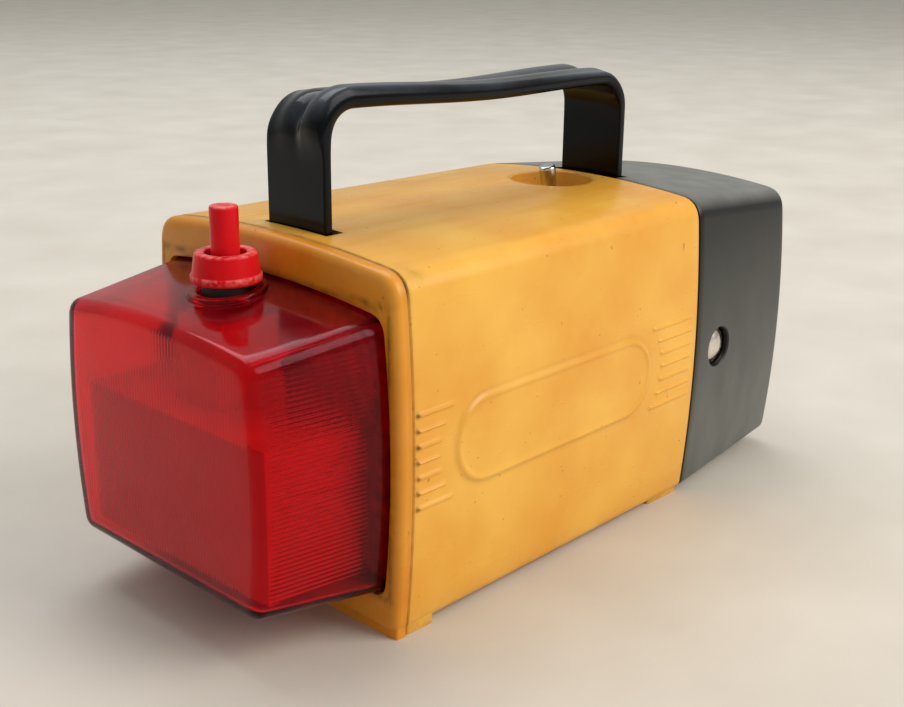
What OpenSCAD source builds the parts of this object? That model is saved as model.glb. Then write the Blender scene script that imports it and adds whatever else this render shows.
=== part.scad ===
// Hand lantern with a spot lamp in front, a red flasher lens behind and a strap handle on top.
// The beam points along +X, up is +Z, and the origin lies on the ground under the lantern's middle.

/* [Case] */
// Length of the case from the rear bezel's face to the head joint
case_l = 132; // [128:1:150]
// Width of the case at the rear, over the bowed sides
case_w_rear = 101.6; // [98:0.2:108]
// Width of the case at the head joint, over the bowed sides
case_w_front = 96.4; // [94:0.2:104]
// Height of the case above the ground, over the crowned top
case_h = 100; // [99:0.5:110]
// Wall thickness of the case
case_wall = 2.6; // [2:0.1:3.2]
// How far the sides bow outward at mid height
side_bow = 2.5; // [1:0.1:3]
// How far the top is crowned at its middle
top_crown = 3; // [1:0.1:3.4]
// Corner size of the case section on top
corner_r = 6; // [4:0.5:8]
// Corner size of the case section at the underside
base_r = 3; // [2:0.5:5]
// Height of the moulded feet
foot_h = 1.4; // [1:0.1:3]
// Length of the front feet
front_foot_l = 18; // [10:1:24]
// Length of the rear feet
rear_foot_l = 10; // [6:1:14]
// Width of each foot
foot_w = 12; // [8:1:16]
// Height of the two battery rails above the ground
rail_top = 11; // [10.8:0.1:11.6]
// Distance of the two battery rails from the middle
rail_y = 24; // [16:0.5:28]
// Width of each battery rail
rail_w = 6; // [4:0.5:8]
// Thickness of the wall behind the battery
rear_wall = 3; // [2:0.1:4]

/* [Plaque] */
// Length of the raised plaque on each side
plaque_l = 88; // [70:1:92]
// Height of the raised plaque
plaque_h = 26; // [20:1:30]
// Height of the plaque's middle above the ground
plaque_z = 49; // [44:1:54]
// How far the plaque and the ribs stand out
relief = 0.8; // [0.5:0.1:1.2]
// Number of ribs beside each end of the plaque
rib_count = 7; // [3:1:8]
// Height of each rib
rib_h = 1.4; // [1:0.1:2]
// Space between the plaque's round end and the ribs
rib_gap = 5; // [3:0.5:7]

/* [Rear lens] */
// How far the lens stands out behind the bezel
lens_out = 36.8; // [33:0.1:45]
// Width of the bezel's band beside the opening
band_side = 4.1; // [4:0.1:6]
// Height of the opening's lower edge above the ground
opening_bottom = 11.2; // [10.6:0.2:14]
// Height of the bezel's band over the opening
band_top = 10.8; // [10.6:0.1:14]
// How far each side of the lens draws in toward its rear face
lens_in = 5.6; // [3:0.1:8]
// Height of the rear face's lower edge above the ground
lens_face_bottom = 15.8; // [14:0.1:18]
// How far the lens drops on top toward its rear face
lens_drop = 4.8; // [3:0.1:7]
// Wall thickness of the lens
lens_wall = 2.4; // [1.6:0.1:3]
// Rounding of the lens edges
lens_r = 3; // [2:0.5:6]
// Thickness of the bezel's lip over the lens flange
bezel_lip = 2; // [1.6:0.1:3]
// Rounding of the bezel's outer edge
bezel_r = 2.4; // [2:0.2:4]
// Thickness of the lens flange
flange_t = 1.6; // [1.2:0.1:2.4]
// How far the lens flange reaches past the opening
flange_w = 2; // [1.5:0.1:2.2]
// Thickness of the lens gasket
gasket_t = 1; // [0.6:0.1:1.6]

/* [Flasher] */
// Width of the white flasher carrier
carrier_w = 72; // [56:1:72]
// Height of the carrier's underside above the ground
carrier_bottom = 18.5; // [18.5:0.5:26]
// Room for the button's switch between the carrier and the lens top
button_room = 28.66; // [26:0.02:32]
// How far the carrier reaches behind the bezel's face
carrier_out = 31; // [26:0.5:31.5]
// Wall thickness of the carrier
carrier_wall = 2; // [1.4:0.1:2.6]
// How far the carrier's shoulder stands behind the bezel's face
shoulder_out = 1.5; // [0.5:0.5:4]
// How far the carrier's neck is drawn in from its shoulder
neck_in = 5; // [3:0.5:8]
// Diameter of the recess that the flasher bulb sits in
bulb_well_d = 28; // [22:1:34]
// Depth of the recess that the flasher bulb sits in
bulb_well = 15; // [13:0.5:16]
// Thickness of the frosted window that closes the bulb's recess
window_t = 1.2; // [0.8:0.1:1.4]
// Diameter of the flasher bulb's glass
flasher_bulb_d = 11; // [9:0.5:13]
// Diameter of the flasher socket
flasher_socket_d = 15; // [13:0.5:18]

/* [Flasher button] */
// Distance of the button behind the bezel's face
button_back = 12.5; // [11.5:0.5:15]
// Diameter of the plunger
plunger_d = 7.4; // [6:0.2:8]
// Height of the plunger's top above the ground
plunger_top = 109.4; // [106:0.2:114]
// Diameter of the collar's flange
collar_d = 18.4; // [18:0.2:20]
// Diameter of the collar's top
collar_top_d = 15.9; // [15.6:0.1:17]
// Height of the collar
collar_h = 7.6; // [6.5:0.1:9]
// Diameter of the hole in the collar's top
collar_hole_d = 10.8; // [10:0.2:12]
// Diameter of the threaded bushing under the collar
bushing_d = 13; // [12.4:0.1:13.4]
// Diameter of the boss on the lens
boss_d = 20; // [19:0.5:22]
// Height of the boss over the lens
boss_h = 2.74; // [2:0.02:5]

/* [Handle] */
// Width of the strap
strap_w = 23.5; // [20:0.5:30]
// Thickness of the strap
strap_t = 4.2; // [3:0.1:4.4]
// Height of the handle above the case's top
handle_h = 35; // [32:1:46]
// Radius of the strap's bends, to the middle of the strap
bend_r = 10; // [8:0.5:16]
// Sag of the grip's middle
grip_sag = 1.5; // [0:0.5:4]
// Width of the groove along the strap
groove_w = 9; // [6:0.5:12]
// Depth of the groove along the strap
groove_t = 0.9; // [0.4:0.1:1.2]
// Distance of the rear leg from the bezel's face, to the middle of the strap
rear_leg = 12; // [12:0.5:16]
// Distance of the front leg past the joint, to the middle of the strap
front_leg = 4.7; // [2.6:0.1:5]
// Diameter of the pins that hold the legs
pin_d = 3; // [2:0.1:3.2]

/* [Toggle switch] */
// Diameter of the well in the case's top
well_d = 26; // [24:0.5:26]
// Depth of the well
well_depth = 9; // [8:0.5:9.5]
// Distance of the well's middle behind the joint
well_back = 16; // [16:0.5:20]
// Wall thickness of the well
well_wall = 2.2; // [1.8:0.1:2.4]
// Diameter of the switch bushing
toggle_bushing_d = 12; // [10:0.5:13]
// Length of the lever from its pivot to its tip
lever_l = 12; // [9:0.5:16]
// Diameter of the lever's bat end
lever_d = 5.6; // [5:0.1:7.5]
// Lean of the lever at rest, away from the head, in degrees
lever_lean = 12; // [8:1:14]
// Height of the switch body under the well
toggle_body_h = 10; // [8:0.5:10.5]

/* [Head] */
// Length of the head from the joint to its front face
head_l = 60.5; // [56:0.5:72]
// Width of the head at its front, over the bowed sides
head_front_w = 87.4; // [85:0.2:94]
// Height of the head's underside at its front above the ground
head_front_bottom = 5.5; // [4:0.5:7.5]
// Height of the head's top at its front above the ground
head_front_top = 94.8; // [94:0.2:98]
// Wall thickness of the head
head_wall = 2.6; // [2:0.1:3]
// Thickness of the head's front frame
frame_t = 3.4; // [2.6:0.1:4]
// Rounding of the head's front edge
front_r = 4; // [3:0.5:6]
// Diameter of the round window in the front frame
window_d = 72; // [66:0.5:72.5]
// Width of the shadow groove at the joint
joint_groove = 0.6; // [0.3:0.1:1]
// How far the case's spigot reaches into the head
spigot_l = 20; // [18:0.5:24]
// Depth of the spigot's outside below the head's outside
spigot_inset = 6.2; // [6.2:0.1:6.6]
// Wall thickness of the spigot
spigot_wall = 2.4; // [1.6:0.1:2.4]

/* [Side screws] */
// Distance of the side screws past the joint
screw_ahead = 15.4; // [14:0.2:15.8]
// Height of the side screws above the ground
screw_z = 47; // [44:0.5:54]
// Diameter of the screw's domed head
screw_head_d = 11.6; // [9:0.2:12]
// Diameter of the recess around the screw head
recess_d = 12.8; // [12.4:0.1:13.2]
// Depth of the recess
recess_depth = 3.2; // [2.4:0.1:3.2]
// Diameter of the screw's shank
shank_d = 4; // [3:0.1:4.4]

/* [Lamp] */
// Diameter of the front lens and the reflector's rim
lamp_d = 78; // [75:0.5:79]
// Thickness of the front lens
lamp_lens_t = 3; // [2:0.1:4]
// Thickness of the front gasket
front_gasket_t = 1.2; // [0.8:0.1:2]
// Depth of the reflector
reflector_depth = 36; // [32:0.5:38]
// Wall thickness of the reflector
reflector_t = 1; // [0.8:0.1:1.4]
// Diameter of the lamp holder
holder_d = 18; // [15:0.5:20]
// Diameter of the lamp's glass
lamp_bulb_d = 12; // [10:0.5:14]
// Thickness of the ring that holds the reflector
retainer_t = 2; // [1.5:0.1:3]

/* [Battery] */
// Width and height of the battery
battery_w = 66; // [60:0.5:66.5]
// Length of the battery's case
battery_l = 98; // [94:0.5:98]
// Thickness of the battery's cap
cap_t = 3; // [2:0.1:3.2]
// Working length of the terminal springs
spring_l = 11.5; // [8:0.5:11.5]
// Thickness of the foam pad behind the battery
pad_t = 3; // [2:0.1:3.5]

/* [Fits] */
// Gap between the lens and the bezel's opening
lens_gap = 0.6; // [0.3:0.1:0.8]
// Running clearance round moving shafts, on the radius
running = 0.1; // [0.05:0.01:0.15]
// Clearance round fixed pieces
seat = 0.1; // [0.05:0.01:0.15]
// Clearance round loose pieces such as the strap in its slots
loose = 0.4; // [0.3:0.05:0.6]

/* [Hidden] */
$fn = 48;

// Points along the stretches of a section
corner_n = 4;
side_n = 8;
top_n = 6;
end_n = 3;
// A cut reaches this far past the surface that it opens
over = 1;

// Stations along the lantern
bezel_l = bezel_lip + flange_t + gasket_t;
total_l = lens_out + case_l + head_l;
x_lens = -total_l / 2;
x_rear = x_lens + lens_out;
x_seam = x_rear + bezel_l;
x_inside = x_seam + rear_wall;
x_joint = x_rear + case_l;
x_front = x_joint + head_l;
joint_ring = 3;
spigot_r = 4;
x_button = x_rear - button_back;
x_well = x_joint - well_back;
x_screw = x_joint + screw_ahead;

// Heights, from the ground upward
floor_z = foot_h + case_wall;
spigot_lift = 0.2;
spigot_bottom = foot_h + spigot_inset - spigot_lift;
battery_z = rail_top + battery_w / 2;
well_floor = case_h - well_depth;
lever_lift = 1.5;
lever_pivot = well_floor + lever_lift;
beam_z = (head_front_bottom + head_front_top) / 2;

// The bezel's opening and the lens in it
opening_w = case_w_rear - 2 * band_side;
opening_top = case_h - band_top;
lens_face_w = opening_w - 2 * lens_in;
lens_face_top = opening_top - lens_drop;

// The battery and what it touches
x_battery = x_inside + pad_t;
x_cap = x_battery + battery_l;
x_spring = x_cap + cap_t;
strip_t = 0.5;
spring_gap = 0.3;
x_strip = x_spring + spring_l + spring_gap;
x_board = x_strip + strip_t;
board_t = 2;
x_holder = x_board + board_t;
terminal_y = 16;

// The lamp, from the front frame backward
x_frame = x_front - frame_t;
x_glass = x_frame - front_gasket_t;
x_rim = x_glass - lamp_lens_t;
rim_t = 1.2;
x_vertex = x_rim - reflector_depth;
rim_w = 3;
mirror_r = lamp_d / 2 - rim_w;

// Screws inside the head and the case
small_shank = 2.4;
small_head_d = 4.4;
small_head_t = 1.6;
bezel_screw_in = 2;
bezel_screw_gap = 0.5;
bezel_screw_y = rail_y + (rail_w + small_head_d) / 2 + bezel_screw_gap;
bezel_screw_low = floor_z + small_head_d / 2 + bezel_screw_gap;
bezel_screw_high = case_h - top_crown * pow(bezel_screw_y / (case_w_rear / 2 - side_bow), 2)
    - case_wall - small_head_d / 2 - bezel_screw_gap;

function mix(p, q, t) = p + (q - p) * t;
function bend(p, c, q, n) =
    [for (i = [0:n]) let (t = i / n) (1 - t) * (1 - t) * p + 2 * t * (1 - t) * c + t * t * q];

// Half outline of a bowed and crowned section: half width, lower edge, upper edge, upper and lower corner size
function side_y(a, z, z0, ze) = a - side_bow * pow((2 * z - z0 - ze) / (ze - z0), 2);
function crown_z(z1, y, a) = z1 - top_crown * pow(y / a, 2);
function half_outline(a, z0, z1, r, b) = let (ze = z1 - top_crown, ae = a - side_bow) concat(
    bend([ae - b, z0], [ae, z0], [side_y(a, z0 + b, z0, ze), z0 + b], corner_n),
    [for (i = [1:side_n - 1]) let (z = mix(z0 + b, ze - r, i / side_n)) [side_y(a, z, z0, ze), z]],
    bend([side_y(a, ze - r, z0, ze), ze - r], [ae, ze], [ae - r, crown_z(z1, ae - r, ae)], corner_n),
    [for (i = [1:top_n - 1]) let (y = (ae - r) * (1 - i / top_n)) [y, crown_z(z1, y, ae)]]
);
function outline(a, z0, z1, r, b) = let (h = half_outline(a, z0, z1, r, b)) concat(
    h, [[0, z1]], [for (i = [len(h) - 1:-1:0]) [-h[i][0], h[i][1]]]
);
function ring(x, a, z0, z1, r, b) = [for (q = outline(a, z0, z1, r, b)) [x, q[0], q[1]]];

// Rings of the case, the lens and the head at a station, drawn in by an inset
function case_a(x) = mix(case_w_rear, case_w_front, (x - x_seam) / (x_joint - x_seam)) / 2;
function case_ring(x, inset) = ring(x, case_a(x) - inset, foot_h + inset, case_h - inset,
    max(1, corner_r - inset), max(1, base_r - inset));
function lens_part(x) = (x_rear - x) / lens_out;
function lens_top(x) = mix(opening_top - lens_gap, lens_face_top, lens_part(x));
function lens_bottom(x) = mix(opening_bottom + lens_gap, lens_face_bottom, lens_part(x));
function lens_a(x) = mix(opening_w / 2 - lens_gap, lens_face_w / 2, lens_part(x));
function lens_ring(x, inset) = let (r = max(1.5, lens_r + 1 - inset))
    ring(x, lens_a(x) - inset, lens_bottom(x) + inset, lens_top(x) - inset, r, r);
function opening_ring(x, grow) = let (r = lens_r + 1 + grow)
    ring(x, opening_w / 2 + grow, opening_bottom - grow, opening_top + grow, r, r);
function head_part(x) = (x - x_joint) / head_l;
function head_a(x) = mix(case_w_front, head_front_w, head_part(x)) / 2;
function head_bottom(x) = mix(foot_h, head_front_bottom, head_part(x));
function head_top(x) = mix(case_h, head_front_top, head_part(x));
function head_ring(x, inset) = ring(x, head_a(x) - inset, head_bottom(x) + inset, head_top(x) - inset,
    max(1.5, corner_r - inset), max(1.5, base_r - inset));
function spigot_ring(x, inset) = ring(x, head_a(x) - spigot_inset - inset, spigot_bottom + inset,
    head_top(x) - spigot_inset - inset, spigot_r, spigot_r);

// The flasher's socket and bulb
carrier_top = lens_top(x_button) - button_room;
socket_z = (carrier_bottom + carrier_top) / 2;
socket_out = 1.5;
x_carrier = x_rear - carrier_out;
x_shoulder = x_rear - shoulder_out;
x_socket = x_carrier + bulb_well - socket_out;
lead_room = 6;
socket_l = 20;
flasher_base_d = 9.2;
base_l = 12;
base_in = 1;

// The button's switch, from the carrier's top upward
switch_w = 18;
switch_gap = 5.26;
boss_top = lens_top(x_button) + boss_h;
switch_top = lens_top(x_button) - lens_wall - switch_gap;
collar_lip = 2.2;
collar_bead = 1.6;
bushing_top = boss_top + collar_h - collar_lip - 2 * seat;
cavity_d = plunger_d + 3;
cavity_floor = 4;
cavity_roof = 3.5;
cavity_bottom = carrier_top + cavity_floor;
stop_z = switch_top - cavity_roof;
plunger_flange_t = 2.4;
plunger_edge = 0.5;
stop_gap = 0.3;
flange_bottom = stop_z - stop_gap - plunger_flange_t;
spring_wire = 0.8;

// The toggle switch under the well
toggle_body_l = 22;
toggle_body_w = 14;
toggle_bushing_out = 3.6;
toggle_nut_t = 2.2;
toggle_nut_margin = 5;
lever_ball = 6;
lever_pin_d = 2;
lever_pin_l = 11;
lever_stem_d = 3.4;
lever_stem_l = 3.2;
lug_w = 4;

// The battery's edges and terminals
battery_r = 6;
terminal_r = 8;
terminal_wire = 1.2;
board_margin = 11;

// The reflector's middle, and the posts and screws around its rim
mirror_hole = 7;
dish_n = 12;
neck_l = 8;
lamp_base_d = 9.4;
lamp_base_l = 11;
lamp_collar_t = 1;
post_gap = 7.67;
post_y = (lamp_d / 2 + post_gap) / sqrt(2);
post_d = 6.8;
post_hole = 5;
x_post = x_rim - rim_t;
function dish(r) = reflector_depth * pow(r / mirror_r, 2);

// The side screws, from the head's outside inward
boss_wall = 1.4;
screw_y = head_a(x_screw);
screw_seat_y = screw_y - recess_depth;
boss_y = head_a(x_screw - recess_d / 2 - boss_wall) - spigot_inset + loose;
screw_disc = 0.8;
screw_dome = 1.6;
nut_d = 9;
nut_t = 3;
nut_y = head_a(x_screw + nut_d / 2) - spigot_inset - spigot_wall - loose;
shank_out = 0.8;

// A closed solid through rings that share their number of points
module loft(rings) {
    n = len(rings[0]);
    m = len(rings);
    walls = [
        for (k = [0:m - 2], i = [0:n - 1]) let (j = (i + 1) % n) each [
            [k * n + i, (k + 1) * n + i, k * n + j],
            [k * n + j, (k + 1) * n + i, (k + 1) * n + j]
        ]
    ];
    rear = [for (i = [0:n - 1]) i];
    front = [for (i = [n - 1:-1:0]) (m - 1) * n + i];
    polyhedron([for (g = rings) each g], concat([rear], walls, [front]), convexity = 6);
}

// A cylinder along X, from a station, and one along Y on both sides
module rod_x(x, y, z, d, l) {
    translate([x, y, z]) rotate([0, 90, 0]) cylinder(d = d, h = l);
}
module rod_y(x, y, z, d, l) {
    translate([x, y, z]) rotate([-90, 0, 0]) cylinder(d = d, h = l);
}
module box(x0, x1, y0, y1, z0, z1) {
    translate([x0, y0, z0]) cube([x1 - x0, y1 - y0, z1 - z0]);
}
module both_sides() {
    children();
    mirror([0, 1, 0]) children();
}

// An open coil as one tube: wire, first and last radius, turns and height
coil_sides = 6;
coil_steps = 10;
module coil(wire, r0, r1, turns, h) {
    steps = turns * coil_steps;
    points = [
        for (k = [0:steps], i = [0:coil_sides - 1])
        let (
            t = k / steps, turn = 360 * turns * t, q = 360 * i / coil_sides,
            r = mix(r0, r1, t) + wire / 2 * cos(q)
        )
        [r * cos(turn), r * sin(turn), wire / 2 + (h - wire) * t + wire / 2 * sin(q)]
    ];
    walls = [
        for (k = [0:steps - 1], i = [0:coil_sides - 1]) let (j = (i + 1) % coil_sides, a = k * coil_sides) each [
            [a + i, a + j, a + coil_sides + i],
            [a + j, a + coil_sides + j, a + coil_sides + i]
        ]
    ];
    first = [for (i = [coil_sides - 1:-1:0]) i];
    last = [for (i = [0:coil_sides - 1]) steps * coil_sides + i];
    polyhedron(points, concat([first], walls, [last]), convexity = 10);
}

// The strap's middle line, in X and Z, and the strap between two offsets from it
leg_x = [x_rear + rear_leg, x_joint + front_leg];
pin_overhang = 4;
pin_l = strap_w + 2 * pin_overhang;
pin_drop = 0.5;
pin_z = [
    case_h - case_wall - pin_d / 2 - pin_drop,
    head_top(leg_x[1]) - spigot_inset - spigot_wall - pin_d / 2 - pin_drop
];
leg_end = 2;
leg_z = [for (z = pin_z) z - pin_d / 2 - leg_end];
grip_z = case_h + handle_h - strap_t / 2;
bend_n = 8;
grip_n = 12;
grip_x = [leg_x[0] + bend_r, leg_x[1] - bend_r];
strap_line = concat(
    [[leg_x[0], leg_z[0]]],
    [for (i = [0:bend_n]) let (a = 180 - 90 * i / bend_n)
        [grip_x[0] + bend_r * cos(a), grip_z - bend_r + bend_r * sin(a)]],
    [for (i = [1:grip_n - 1]) let (t = i / grip_n)
        [mix(grip_x[0], grip_x[1], t), grip_z - grip_sag * (1 - cos(360 * t)) / 2]],
    [for (i = [0:bend_n]) let (a = 90 - 90 * i / bend_n)
        [grip_x[1] + bend_r * cos(a), grip_z - bend_r + bend_r * sin(a)]],
    [[leg_x[1], leg_z[1]]]
);
function strap_normal(i) = let (
    p = strap_line[max(0, i - 1)], q = strap_line[min(len(strap_line) - 1, i + 1)], d = (q - p) / norm(q - p)
) [-d[1], d[0]];
function strap_side(offset) = [for (i = [0:len(strap_line) - 1]) strap_line[i] + offset * strap_normal(i)];
module strap(inner, outer, w) {
    outer_side = strap_side(outer);
    inner_side = strap_side(inner);
    path = concat(inner_side, [for (i = [len(outer_side) - 1:-1:0]) outer_side[i]]);
    translate([0, w / 2, 0]) rotate([90, 0, 0]) linear_extrude(w) polygon(path);
}

// Slots for the strap's legs
slot_w = strap_w + 2 * loose + 1;
slot_back = strap_t / 2 + loose;
slot_ahead = strap_t / 2 + loose + 1.6;

// Raised plaque and ribs, as prisms that the case's outline trims
rib_ends = 0.8;
rib_pitch = plaque_h / (rib_count - rib_ends);
plaque_back = 5;
plaque_x = (x_seam + x_joint) / 2 - plaque_back;
function rib_reach(dz) = plaque_l / 2 - plaque_h / 2 + sqrt(pow(plaque_h / 2 + rib_gap, 2) - dz * dz);
module side_relief() {
    rod_y(plaque_x - plaque_l / 2 + plaque_h / 2, -case_w_rear, plaque_z, plaque_h, 2 * case_w_rear);
    rod_y(plaque_x + plaque_l / 2 - plaque_h / 2, -case_w_rear, plaque_z, plaque_h, 2 * case_w_rear);
    box(plaque_x - plaque_l / 2 + plaque_h / 2, plaque_x + plaque_l / 2 - plaque_h / 2,
        -case_w_rear, case_w_rear, plaque_z - plaque_h / 2, plaque_z + plaque_h / 2);
    for (i = [0:rib_count - 1]) {
        dz = (i - (rib_count - 1) / 2) * rib_pitch;
        z = plaque_z + dz - rib_h / 2;
        box(x_seam + 1, plaque_x - rib_reach(dz), -case_w_rear, case_w_rear, z, z + rib_h);
        box(plaque_x + rib_reach(dz), x_joint - 3, -case_w_rear, case_w_rear, z, z + rib_h);
    }
}

module case_body() color("#E3AB42") {
    foot_y = case_w_front / 2 - side_bow - corner_r + 2;
    difference() {
        union() {
            difference() {
                union() {
                    loft([case_ring(x_seam, 0), case_ring(x_joint, 0)]);
                    intersection() {
                        loft([case_ring(x_seam, -relief), case_ring(x_joint, -relief)]);
                        side_relief();
                    }
                }
                loft([case_ring(x_inside, case_wall), case_ring(x_joint - joint_ring, case_wall)]);
            }
            loft([spigot_ring(x_joint - joint_ring, 0), spigot_ring(x_joint + spigot_l, 0)]);
            translate([x_well, 0, well_floor - well_wall])
                cylinder(d = well_d + 2 * well_wall, h = well_depth);
            both_sides() {
                box(x_seam, x_seam + rear_foot_l, foot_y - foot_w, foot_y, 0, foot_h + over);
                box(x_joint - front_foot_l, x_joint, foot_y - foot_w, foot_y, 0, foot_h + over);
                box(x_inside - over, x_joint - joint_ring, rail_y - rail_w / 2, rail_y + rail_w / 2, foot_h + over, rail_top);
            }
        }
        loft([spigot_ring(x_joint - joint_ring - over, spigot_wall),
            spigot_ring(x_joint + spigot_l + over, spigot_wall)]);
        translate([x_well, 0, well_floor]) cylinder(d = well_d, h = well_depth + over);
        translate([x_well, 0, well_floor - well_wall - over])
            cylinder(d = toggle_bushing_d + 2 * seat, h = well_wall + 2 * over);
        box(leg_x[0] - slot_back, leg_x[0] + slot_ahead, -slot_w / 2, slot_w / 2,
            case_h - 2 * case_wall - top_crown, case_h + over);
        box(leg_x[1] - slot_back, leg_x[1] + slot_back, -slot_w / 2, slot_w / 2,
            head_top(x_joint) - spigot_inset - 2 * spigot_wall - top_crown, case_h + over);
        both_sides() {
            rod_y(x_screw, 0, screw_z, shank_d + 2 * loose, case_w_front);
            box(x_screw, x_joint + spigot_l + over, 0, case_w_front,
                screw_z - shank_d / 2 - loose, screw_z + shank_d / 2 + loose);
            for (z = [bezel_screw_low, bezel_screw_high])
                rod_x(x_seam - over, bezel_screw_y, z, small_shank + 2 * seat, rear_wall + 2 * over);
        }
        rod_x(x_seam - over, 0, socket_z, flasher_socket_d + lead_room, rear_wall + 2 * over);
    }
}

module rear_bezel() color("#D69B35") difference() {
    loft(concat(
        [for (i = [0:end_n]) let (a = 90 * i / end_n)
            case_ring(x_rear + bezel_r * (1 - cos(a)), bezel_r * (1 - sin(a)))],
        [case_ring(x_seam, 0)]
    ));
    loft([opening_ring(x_rear - over, 0), opening_ring(x_seam + over, 0)]);
    loft([opening_ring(x_rear + bezel_lip, flange_w + seat), opening_ring(x_seam + over, flange_w + seat)]);
    both_sides() for (z = [bezel_screw_low, bezel_screw_high])
        rod_x(x_seam - bezel_screw_in - seat, bezel_screw_y, z, small_shank + 2 * seat, bezel_l);
}

module bezel_screws() color("#B9B9B4") both_sides() {
    for (z = [bezel_screw_low, bezel_screw_high]) {
        rod_x(x_seam - bezel_screw_in, bezel_screw_y, z, small_shank, rear_wall + bezel_screw_in + small_head_t);
        rod_x(x_inside, bezel_screw_y, z, small_head_d, small_head_t);
    }
}

module flasher_lens() color("#A81418") {
    inner_r = lens_r - 1;
    roof = lens_top(x_button) - lens_wall;
    difference() {
        union() {
            loft(concat(
                [for (i = [0:end_n]) let (a = 90 * i / end_n)
                    lens_ring(x_lens + lens_r * (1 - cos(a)), lens_r * (1 - sin(a)))],
                [lens_ring(x_rear + bezel_lip + flange_t, 0)]
            ));
            loft([opening_ring(x_rear + bezel_lip, flange_w), opening_ring(x_rear + bezel_lip + flange_t, flange_w)]);
            translate([x_button, 0, roof]) cylinder(d = boss_d, h = boss_top - roof);
        }
        loft(concat(
            [for (i = [0:end_n]) let (a = 90 * i / end_n)
                lens_ring(x_lens + lens_wall + inner_r * (1 - cos(a)), lens_wall + inner_r * (1 - sin(a)))],
            [lens_ring(x_seam, lens_wall)]
        ));
        translate([x_button, 0, roof - 2 * lens_r]) cylinder(d = bushing_d + 2 * loose, h = boss_d);
    }
}

module lens_gasket() color("#1B1B1B") difference() {
    loft([opening_ring(x_rear + bezel_lip + flange_t, flange_w), opening_ring(x_seam, flange_w)]);
    loft([opening_ring(x_rear, -lens_wall), opening_ring(x_seam + over, -lens_wall)]);
}

module carrier_box(x0, x1, inset) box(x0, x1, -carrier_w / 2 + inset, carrier_w / 2 - inset,
    carrier_bottom + inset, carrier_top - inset);

module flasher_carrier() color("#E9E4DA") difference() {
    union() {
        difference() {
            union() {
                carrier_box(x_carrier, x_shoulder, 0);
                carrier_box(x_shoulder - carrier_wall, x_seam, neck_in);
            }
            carrier_box(x_carrier + carrier_wall, x_shoulder - carrier_wall, carrier_wall);
            carrier_box(x_carrier + carrier_wall, x_seam + over, neck_in + carrier_wall);
        }
        rod_x(x_carrier, 0, socket_z, bulb_well_d + 2 * carrier_wall, bulb_well + carrier_wall);
    }
    rod_x(x_carrier - over, 0, socket_z, bulb_well_d, bulb_well + over);
    rod_x(x_socket, 0, socket_z, flasher_socket_d + 2 * seat, carrier_out);
}

module flasher_window() color("#F3F0E8") rod_x(x_carrier, 0, socket_z, bulb_well_d - 2 * seat, window_t);

module flasher_socket() color("#3B2A1E") difference() {
    rod_x(x_socket, 0, socket_z, flasher_socket_d, socket_l);
    rod_x(x_socket - over, 0, socket_z, flasher_base_d + 2 * seat, base_l + base_in + over);
}

module flasher_bulb_base() color("#C9A24B") rod_x(x_socket + base_in, 0, socket_z, flasher_base_d, base_l);

module flasher_bulb_glass() color("#F4F1E6") {
    globe_out = flasher_bulb_d / 2 - base_in + seat;
    translate([x_socket - globe_out, 0, socket_z]) sphere(d = flasher_bulb_d);
    rod_x(x_socket - globe_out, 0, socket_z, flasher_base_d - 1, globe_out + base_in);
}

module button_switch() color("#E4DED2") difference() {
    box(x_button - switch_w / 2, x_button + switch_w / 2, -switch_w / 2, switch_w / 2, carrier_top, switch_top);
    translate([x_button, 0, cavity_bottom]) cylinder(d = cavity_d, h = stop_z - cavity_bottom);
    translate([x_button, 0, stop_z - over]) cylinder(d = plunger_d + 2 * running, h = boss_top);
}

module button_bushing() color("#1E1E1F") translate([x_button, 0, switch_top]) difference() {
    cylinder(d = bushing_d, h = bushing_top - switch_top);
    translate([0, 0, -over]) cylinder(d = plunger_d + 2 * running, h = bushing_top);
}

module button_collar() color("#C8252C") translate([x_button, 0, boss_top]) difference() {
    union() {
        cylinder(d = collar_d, h = collar_bead);
        cylinder(d1 = collar_d - 1, d2 = collar_top_d, h = collar_h);
    }
    translate([0, 0, -over]) cylinder(d = bushing_d + 2 * seat, h = collar_h - collar_lip + over);
    translate([0, 0, -over]) cylinder(d = collar_hole_d, h = collar_h + 2 * over);
}

module button_plunger() color("#E01F2C") translate([x_button, 0, flange_bottom]) {
    cylinder(d = plunger_d, h = plunger_top - flange_bottom - plunger_edge);
    cylinder(d = cavity_d - 2 * loose, h = plunger_flange_t);
    translate([0, 0, plunger_top - flange_bottom - plunger_edge])
        cylinder(d1 = plunger_d, d2 = plunger_d - 2 * plunger_edge, h = plunger_edge);
}

module button_spring() color("#B9B9B4") translate([x_button, 0, cavity_bottom])
    coil(spring_wire, cavity_d / 2 - loose - spring_wire, cavity_d / 2 - loose - spring_wire, 6,
        flange_bottom - cavity_bottom);

module handle() color("#141415") difference() {
    strap(-strap_t / 2, strap_t / 2, strap_w);
    strap(strap_t / 2 - groove_t, strap_t / 2 + over, groove_w);
    for (i = [0, 1])
        rod_y(leg_x[i], -strap_w, pin_z[i], pin_d + 2 * seat, 2 * strap_w);
}

module handle_pins() color("#B9B9B4") for (i = [0, 1])
    rod_y(leg_x[i], -pin_l / 2, pin_z[i], pin_d, pin_l);

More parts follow.
